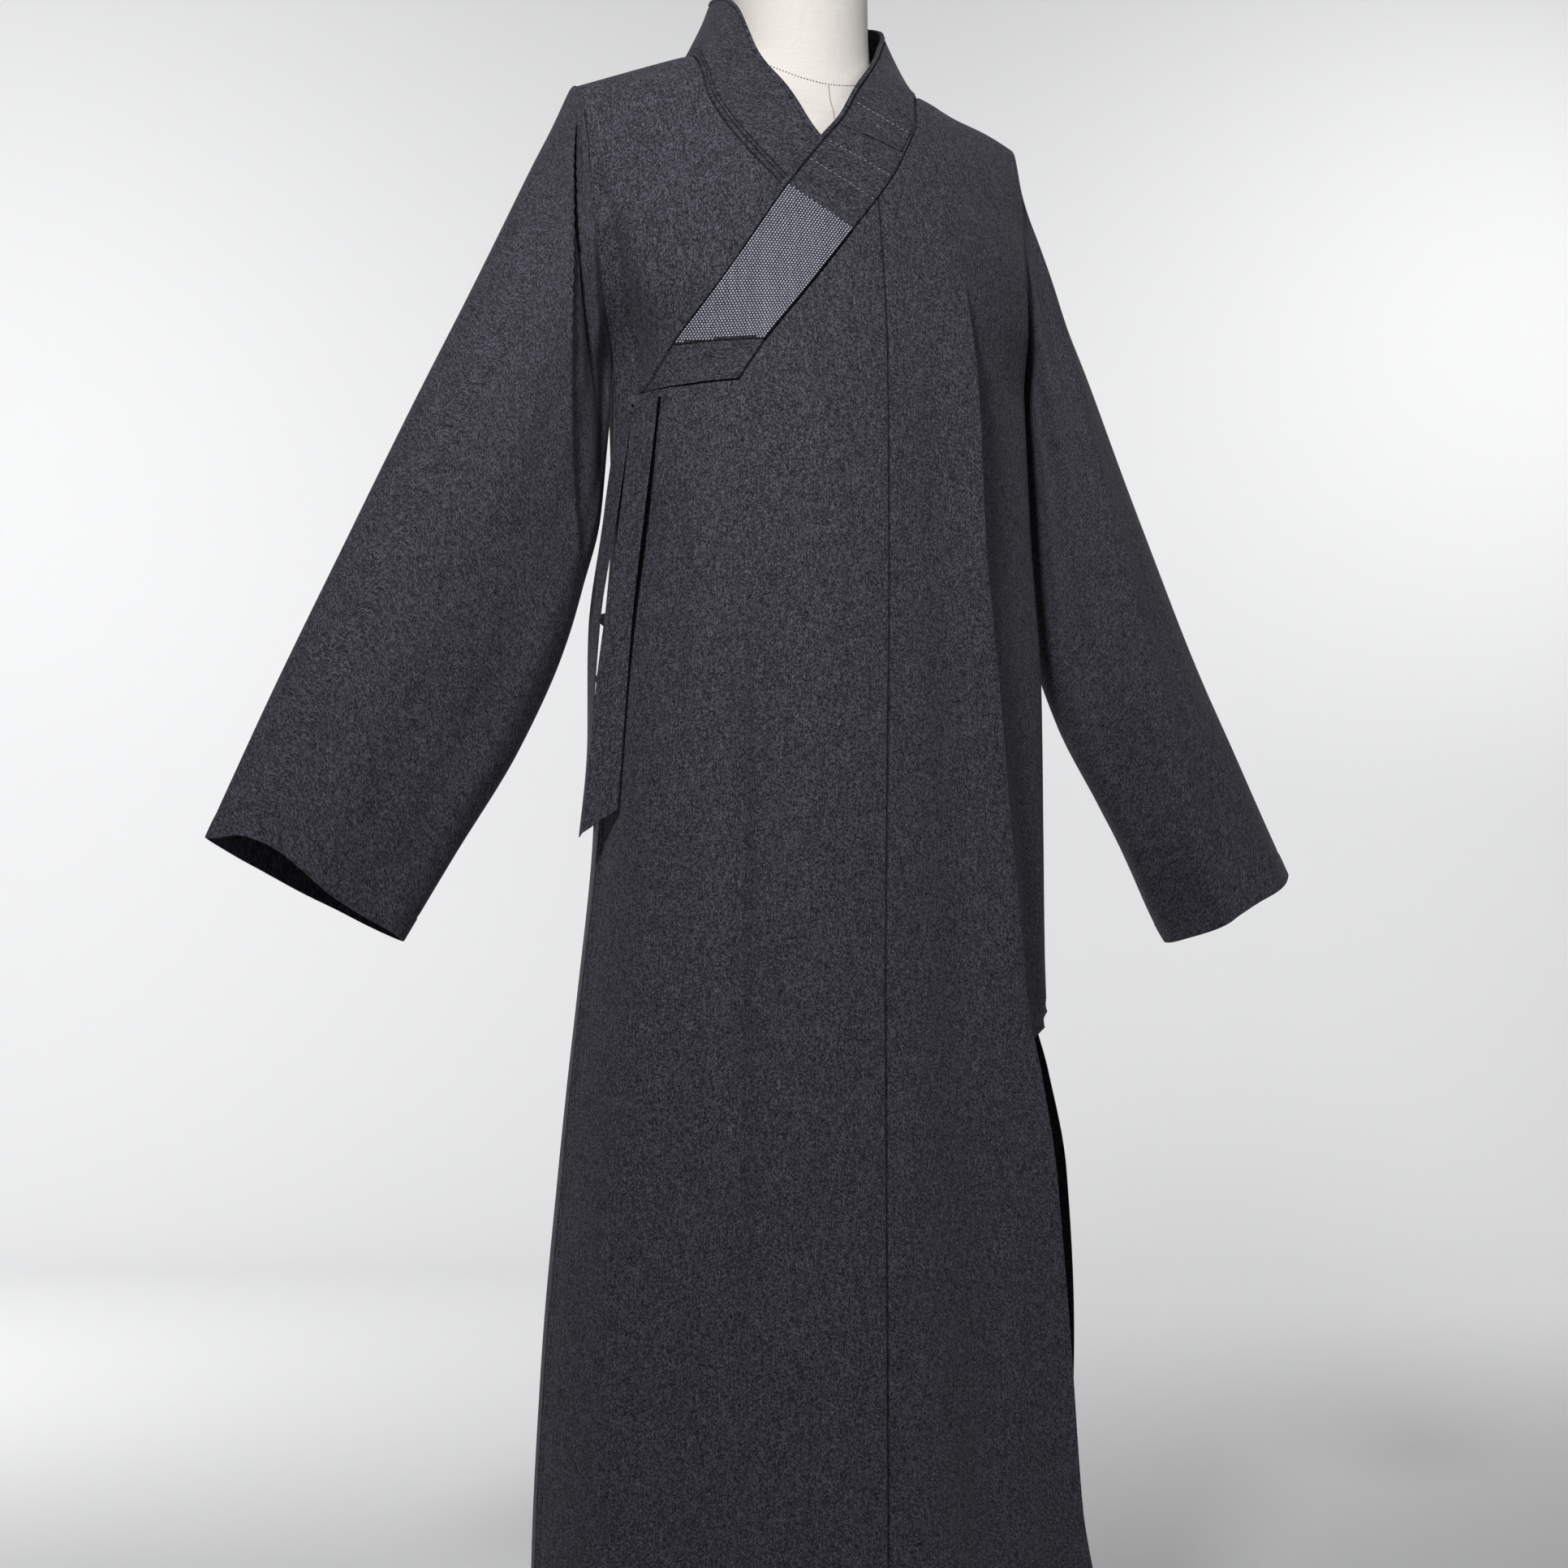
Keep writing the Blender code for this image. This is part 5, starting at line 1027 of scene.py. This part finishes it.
def build_tie(name, table, material, wave):
    """A pressed strip with rounded edges, which hangs from its top row and ends in a slanted point."""
    heights = np.array([row[0] for row in table])
    _, edge_x, edge_y, facing, width = column_curves(table, heights[0] - heights)
    key = np.linspace(0, heights[0] - heights[-1], TIE_ROWS)[:, None]
    turn = np.radians(facing(key))
    across = np.stack((-np.cos(turn), np.sin(turn), 0 * turn), -1)
    normal = np.stack((-np.sin(turn), -np.cos(turn), 0 * turn), -1)
    angle = np.linspace(0, 2 * math.pi, TIE_COLUMNS, endpoint=False)[None, :]
    share = (1 - np.sign(np.cos(angle)) * np.abs(np.cos(angle)) ** TIE_FLAT) / 2
    thick = np.sign(np.sin(angle)) * np.abs(np.sin(angle)) ** TIE_ROUND * TIE / 2
    fold = -TIE_FOLD_DEPTH * bump(share * width(key) - TIE_FOLD, TIE_FOLD_WIDTH) * (np.sin(angle) > 0)
    ripple = wave * np.sin(key * TIE_WAVES + 1.0) * ease(key / TIE_WAVE_START) * (share - 0.5) * 2
    base = np.stack((edge_x(key), edge_y(key), heights[0] - key), -1)
    points = base + across * (width(key) * share)[..., None] + normal * (thick + fold + ripple - TIE / 2)[..., None]
    points[..., 2] -= TIE_POINT * share * ease((key - key[-1] + POINT_LENGTH) / POINT_LENGTH)
    u = width(key) * share + 0 * key
    return closed_tube(name, points, material, np.stack((u, key + 0 * u), -1))


def cord_curve(name, points, radius, material, cyclic=False):
    curve = bpy.data.curves.new(name, "CURVE")
    curve.dimensions = "3D"
    curve.bevel_depth = radius
    curve.bevel_resolution = 3
    curve.use_fill_caps = True
    spline = curve.splines.new("POLY")
    spline.points.add(len(points) - 1)
    spline.points.foreach_set("co", np.concatenate((points, np.ones((len(points), 1))), axis=1).ravel())
    spline.use_cyclic_u = cyclic
    spline.use_smooth = True
    curve.materials.append(material)
    return link_object(name, curve)


def build_knot(name, level, angle, size, tall, material):
    """A ball knot plaited from cord, and the loop that holds it to the side edge."""
    point, normal = body_point("front", angle, level_key(level))
    radius = BUTTON_RADIUS * size
    centre = point + normal * (radius + 2 * LOOP_RADIUS + 2 * SEAM_GAP)
    centre[1] -= SEAM_GAP / 2
    side = unit(np.cross(normal, (0.0, 0.0, 1.0)))
    side = side if side[1] > 0 else -side
    up = np.cross(normal, side)
    t = np.linspace(0, 2 * KNOT_TURNS * math.pi, KNOT_STEPS, endpoint=False)
    cord = radius * KNOT_CORD
    reach = radius - cord + KNOT_BULGE * np.cos(2 * KNOT_LOBES * t / KNOT_TURNS)
    high = KNOT_RISE * np.sin(KNOT_LOBES * t / KNOT_TURNS)
    ring = np.sqrt(1 - high ** 2) * reach
    points = (centre + side * (ring * np.cos(t))[:, None] + up * (ring * np.sin(t) * tall)[:, None]
              + normal * (high * reach)[:, None])
    knot = cord_curve("knot_cord_" + name, points, cord, material, True)
    foot = point + normal * (LOOP_RADIUS + SEAM_GAP)
    share = np.linspace(-1, 1, LOOP_STEPS)
    path = (foot + side * (LOOP_REACH * 0.5 * share)[:, None]
            + up * (LOOP_RADIUS * LOOP_ARCH * np.cos(share * math.pi / 2))[:, None])
    return knot, cord_curve("loop_cord_" + name, path, LOOP_RADIUS, material)


# Dress form

FORM_CURVES = column_curves(FORM)


def form_point(step, turn):
    """Points of the form, drawn in where the robe holds it."""
    level, half, front, back, lowered = (curve(step) + 0 * turn for curve in FORM_CURVES)
    x, facing = half * np.sin(turn), -np.cos(turn)
    sink = lowered * facing ** 2 * np.where(facing < 0, 1.0, BACK_SINK)
    y = facing * np.where(facing < 0, front, back)
    robe_key = level_key(np.minimum(level - sink, SHOULDER_Z))
    for side, here in (("front", facing < 0), ("back", facing >= 0)):
        roof = plain_point(side, angle_at(x, robe_key), robe_key)[..., 1]
        room = np.maximum(FORM_FILL * np.abs(roof) - FORM_CLEARANCE, 0.0)
        held = here & (np.abs(x) > FORM_HELD[side]) & (level <= SHOULDER_Z)
        y = np.where(held, np.copysign(np.minimum(np.abs(y), room), facing), y)
    return np.stack((x, y, level - sink - shoulder_drop(x, "front") * near_shoulder(level)), -1)


def build_form(material):
    """The torso and neck, from the same rings at finer steps."""
    step = np.linspace(0, len(FORM) - 1, (len(FORM) - 1) * FORM_STEPS + 1)[:, None]
    points = form_point(step, np.linspace(0, 2 * math.pi, FORM_COLUMNS)[None, :])
    return closed_tube("form_linen", points, material, np.stack(arc_lengths(points), -1), repeated=True)


def build_form_seams(dot_thread, seam_thread):
    """The stitched seam round the neck's base, and the seams down the centre front and back."""
    step, turns = np.full(NECK_DOTS, FORM_SEAM_STEP), np.linspace(0.0, 2 * math.pi, NECK_DOTS, endpoint=False)
    points = form_point(step, turns)
    around = form_point(step, turns + FORM_PROBE[0]) - points
    down = form_point(step + FORM_PROBE[1], turns) - points
    normals = faced(unit(np.cross(around, down)), points)
    dots = stitch_mesh("form_neck_stitches", points, normals, unit(around), *NECK_DOT, dot_thread)
    steps = np.linspace(FORM_SEAM_STEP, FORM_SEAM_END, FORM_SEAM_POINTS)
    seams = [cord_curve("form_seam_" + name, form_point(steps, np.full(FORM_SEAM_POINTS, turn)), FORM_SEAM_RADIUS,
                        seam_thread) for name, turn in (("front", 0.0), ("back", math.pi))]
    return [dots] + seams


# Materials

def new_material(name, roughness, specular=0.3, sheen=0.0, sheen_roughness=0.5):
    material = bpy.data.materials.new(name)
    material.use_nodes = True
    nodes, links = material.node_tree.nodes, material.node_tree.links
    shader = nodes["Principled BSDF"]
    values = (("Roughness", roughness), ("Specular IOR Level", specular), ("Sheen Weight", sheen),
              ("Sheen Roughness", sheen_roughness))
    for socket, value in values:
        shader.inputs[socket].default_value = value
    return material, nodes, links, shader


def grain_map(nodes):
    source = nodes.new("ShaderNodeUVMap")
    source.uv_map = "grain"
    return source.outputs["UV"]


def scaled(nodes, links, source, scale):
    mapping = nodes.new("ShaderNodeMapping")
    mapping.inputs["Scale"].default_value = (scale[0], scale[1], 1.0)
    links.new(source, mapping.inputs["Vector"])
    return mapping.outputs["Vector"]


def grain_noise(nodes, links, source, scale, detail=2.0):
    """Noise over the grain map, with its own scale across and along the yarns."""
    noise = nodes.new("ShaderNodeTexNoise")
    for socket, value in (("Scale", 1.0), ("Detail", detail), ("Roughness", 0.6)):
        noise.inputs[socket].default_value = value
    links.new(scaled(nodes, links, source, scale), noise.inputs["Vector"])
    return noise.outputs["Fac"]


def ramp(nodes, links, source, *stops):
    """Colours by a source's value. A number stands for a grey."""
    node = nodes.new("ShaderNodeValToRGB")
    elements = node.color_ramp.elements
    while len(elements) < len(stops):
        elements.new(0.5)
    for element, (place, color) in zip(elements, stops):
        element.position = place
        element.color = (*color, 1.0) if isinstance(color, tuple) else (color, color, color, 1.0)
    links.new(source, node.inputs["Fac"])
    return node.outputs["Color"]


def blend_colors(nodes, links, first, second, share, kind="MIX"):
    node = nodes.new("ShaderNodeMix")
    node.data_type, node.blend_type = "RGBA", kind
    links.new(first, node.inputs["A"])
    links.new(second, node.inputs["B"])
    node.inputs["Factor"].default_value = share
    return node.outputs["Result"]


def bumped(nodes, links, shader, height, strength, distance):
    node = nodes.new("ShaderNodeBump")
    node.inputs["Strength"].default_value = strength
    node.inputs["Distance"].default_value = distance
    links.new(height, node.inputs["Height"])
    links.new(node.outputs["Normal"], shader.inputs["Normal"])


def suiting_material(name="suiting", shade=1.0):
    """Charcoal melange: pale and dark fibres in small flecks, which line up into faint streaks along the grain. Its
    colour is darkened as painted shade where the cloth dips into seams and stitched lines.
    """
    material, nodes, links, shader = new_material(name, 0.90, 0.16, 0.08, 0.45)
    grain = grain_map(nodes)
    cells = nodes.new("ShaderNodeTexVoronoi")
    cells.voronoi_dimensions = "2D"
    cells.inputs["Scale"].default_value = 1.0
    links.new(scaled(nodes, links, grain, FLECKS), cells.inputs["Vector"])
    streaks, broad, fibres = (grain_noise(nodes, links, grain, scale) for scale in (STREAKS, BROAD, FIBRES))
    low, middle, high = (tuple(c * shade * share for c in MELANGE) for share in FLECK_SHARES)
    color = ramp(nodes, links, cells.outputs["Color"], (0.0, low), (0.5, middle), (1.0, high))
    # Painted shade: the colour is darkened down to 0.22 where the cloth lies deepest in a seam or stitched line
    depth = nodes.new("ShaderNodeAttribute")
    depth.attribute_name = "seam"
    texture_and_painted_shade = ((streaks, (0.32, 0.72), (0.68, 1.30)), (broad, (0.30, 0.95), (0.70, 1.05)),
              (fibres, (0.30, 0.80), (0.70, 1.20)), (depth.outputs["Fac"], (0.15, 1.0), (1.0, 0.22)))
    for source, *stops in texture_and_painted_shade:
        color = blend_colors(nodes, links, color, ramp(nodes, links, source, *stops), 1.0, "MULTIPLY")
    links.new(color, shader.inputs["Base Color"])
    bumped(nodes, links, shader, fibres, 0.30, 0.0004)
    return material


def linen_material():
    """Cream linen: a plain weave drawn tight, with a few thicker yarns."""
    material, nodes, links, shader = new_material("linen", 0.85, 0.25, 0.15)
    grain = grain_map(nodes)
    warp, weft = (grain_noise(nodes, links, grain, scale) for scale in ((900.0, 40.0), (40.0, 900.0)))
    both = blend_colors(nodes, links, warp, weft, 0.5)
    color = ramp(nodes, links, both, (0.35, (0.83, 0.785, 0.735)), (0.65, (0.93, 0.89, 0.84)))
    links.new(color, shader.inputs["Base Color"])
    bumped(nodes, links, shader, both, 0.5, 0.0004)
    return material


def toned_material(name):
    """A material of one colour that is uneven at a small scale."""
    roughness, specular, sheen, metallic, scale, detail, strength, distance, low, high = TONED[name]
    material, nodes, links, shader = new_material(name, roughness, specular, sheen)
    shader.inputs["Metallic"].default_value = metallic
    place = nodes.new("ShaderNodeTexCoord")
    tone = grain_noise(nodes, links, place.outputs["Object"], (scale, scale), detail)
    links.new(ramp(nodes, links, tone, (0.3, low), (0.7, high)), shader.inputs["Base Color"])
    if strength:
        bumped(nodes, links, shader, tone, strength, distance)
    return material


# Studio

def build_camera():
    data = bpy.data.cameras.new("camera")
    data.sensor_width = SENSOR
    data.lens = FOCAL / PHOTO * SENSOR
    data.shift_x, data.shift_y = SIDE_SHIFT, HORIZON_SHIFT
    camera = link_object("camera", data)
    camera.location = CAMERA_PLACE
    camera.rotation_euler = (math.radians(90), 0.0, math.radians(CAMERA_TURN))
    bpy.context.scene.camera = camera


def build_stage():
    """A pale floor that turns up into a wall well behind the robe."""
    turn = np.linspace(0, math.pi / 2, STAGE_STEPS)
    profile = [(-STAGE_NEAR, 0.0)] + [(STAGE_BACK + STAGE_RADIUS * math.sin(t), STAGE_RADIUS * (1 - math.cos(t)))
                                      for t in turn] + [(STAGE_BACK + STAGE_RADIUS, STAGE_HEIGHT)]
    middle = math.radians(CAMERA_TURN)
    points, faces = [], []
    for away, high in profile:
        for across in (-STAGE_SIDE, STAGE_SIDE):
            points.append((across * math.cos(middle) - away * math.sin(middle),
                           across * math.sin(middle) + away * math.cos(middle), high))
    for i in range(0, len(points) - 2, 2):
        faces.append([i, i + 1, i + 3, i + 2])
    paper, _, _, shader = new_material("studio_paper", 0.9)
    shader.inputs["Base Color"].default_value = STAGE_COLOR
    make_mesh("studio_floor", points, faces, paper)


def build_lights():
    for name, stand, size, power, aim in LIGHTS:
        data = bpy.data.lights.new(name, "AREA")
        data.shape, data.size, data.energy = "DISK", size, power
        if name == "key":
            data.spread = KEY_SPREAD
        light = link_object(name, data)
        light.location = stand
        light.visible_camera = False
        way = np.array(aim) - np.array(stand)
        across = math.hypot(way[0], way[1])
        light.rotation_euler = (math.atan2(across, -way[2]), 0.0, math.atan2(way[1], way[0]) - math.pi / 2)
    world = bpy.data.worlds.new("studio")
    world.use_nodes = True
    background = world.node_tree.nodes["Background"].inputs
    background["Color"].default_value, background["Strength"].default_value = WORLD_COLOR, WORLD_STRENGTH
    bpy.context.scene.world = world
    bpy.context.scene.view_settings.view_transform = "Standard"


def place(piece, slot, nodes=()):
    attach(piece, "root")
    if nodes:
        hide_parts(*nodes)
    return piece


def main():
    build_camera()
    build_stage()
    build_lights()
    suiting = suiting_material()
    dark = suiting_material("suiting_band", 0.93)
    ground = suiting_material("patch_ground", 0.62)
    thread, cloth_cord, black_cord = (toned_material(name) for name in ("thread", "cloth_cord", "black_cord"))

    panels = (
        (build_left_front(suiting), "left_front"),
        (build_outer_overlap(suiting), "outer_overlap"),
        (build_right_front(suiting), "right_front"),
        (build_back("right", suiting), "back_right"),
        (build_back("left", suiting), "back_left"),
        (build_sleeve("right", suiting), "right_sleeve"),
        (build_sleeve("left", suiting), "left_sleeve"),
        (build_over_collar(dark), "over_collar"),
        (build_under_collar(dark), "under_collar"),
        (build_overlay("collar_tab_a", dark), "collar_tab_upper"),
        (build_overlay("collar_tab_b", dark), "collar_tab_lower"),
        (build_tie("tie_front_cloth", FRONT_TIE, suiting, TIE_WAVE), "tie_front"),
        (build_tie("tie_back_cloth", BACK_TIE, suiting, 0.0), "tie_back"),
    )
    for piece, node in panels:
        place(piece, "suiting", (node,))
    patch = place(build_overlay("patch_cloth", ground), "quilting", ("quilted_patch",))
    quilting = place(build_quilting(thread), "quilting")
    tab_stitches = place(build_tab_stitches(thread), "quilting")
    for name, level, angle, size, tall in BUTTONS:
        knot, loop = build_knot(name, level, angle, size, tall, cloth_cord if name == "closing" else black_cord)
        place(knot, "knot_black", ("knot_" + name,))
        place(loop, "knot_black", ("loop_" + name,))
    place(build_form(linen_material()), "linen", ("form_torso",))
    for seam in build_form_seams(toned_material("dot_thread"), toned_material("seam_thread")):
        place(seam, "linen")
    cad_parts["form_pole"].material_slots[0].material = toned_material("brushed_steel")
    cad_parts["form_base"].material_slots[0].material = toned_material("coated_iron")


main()
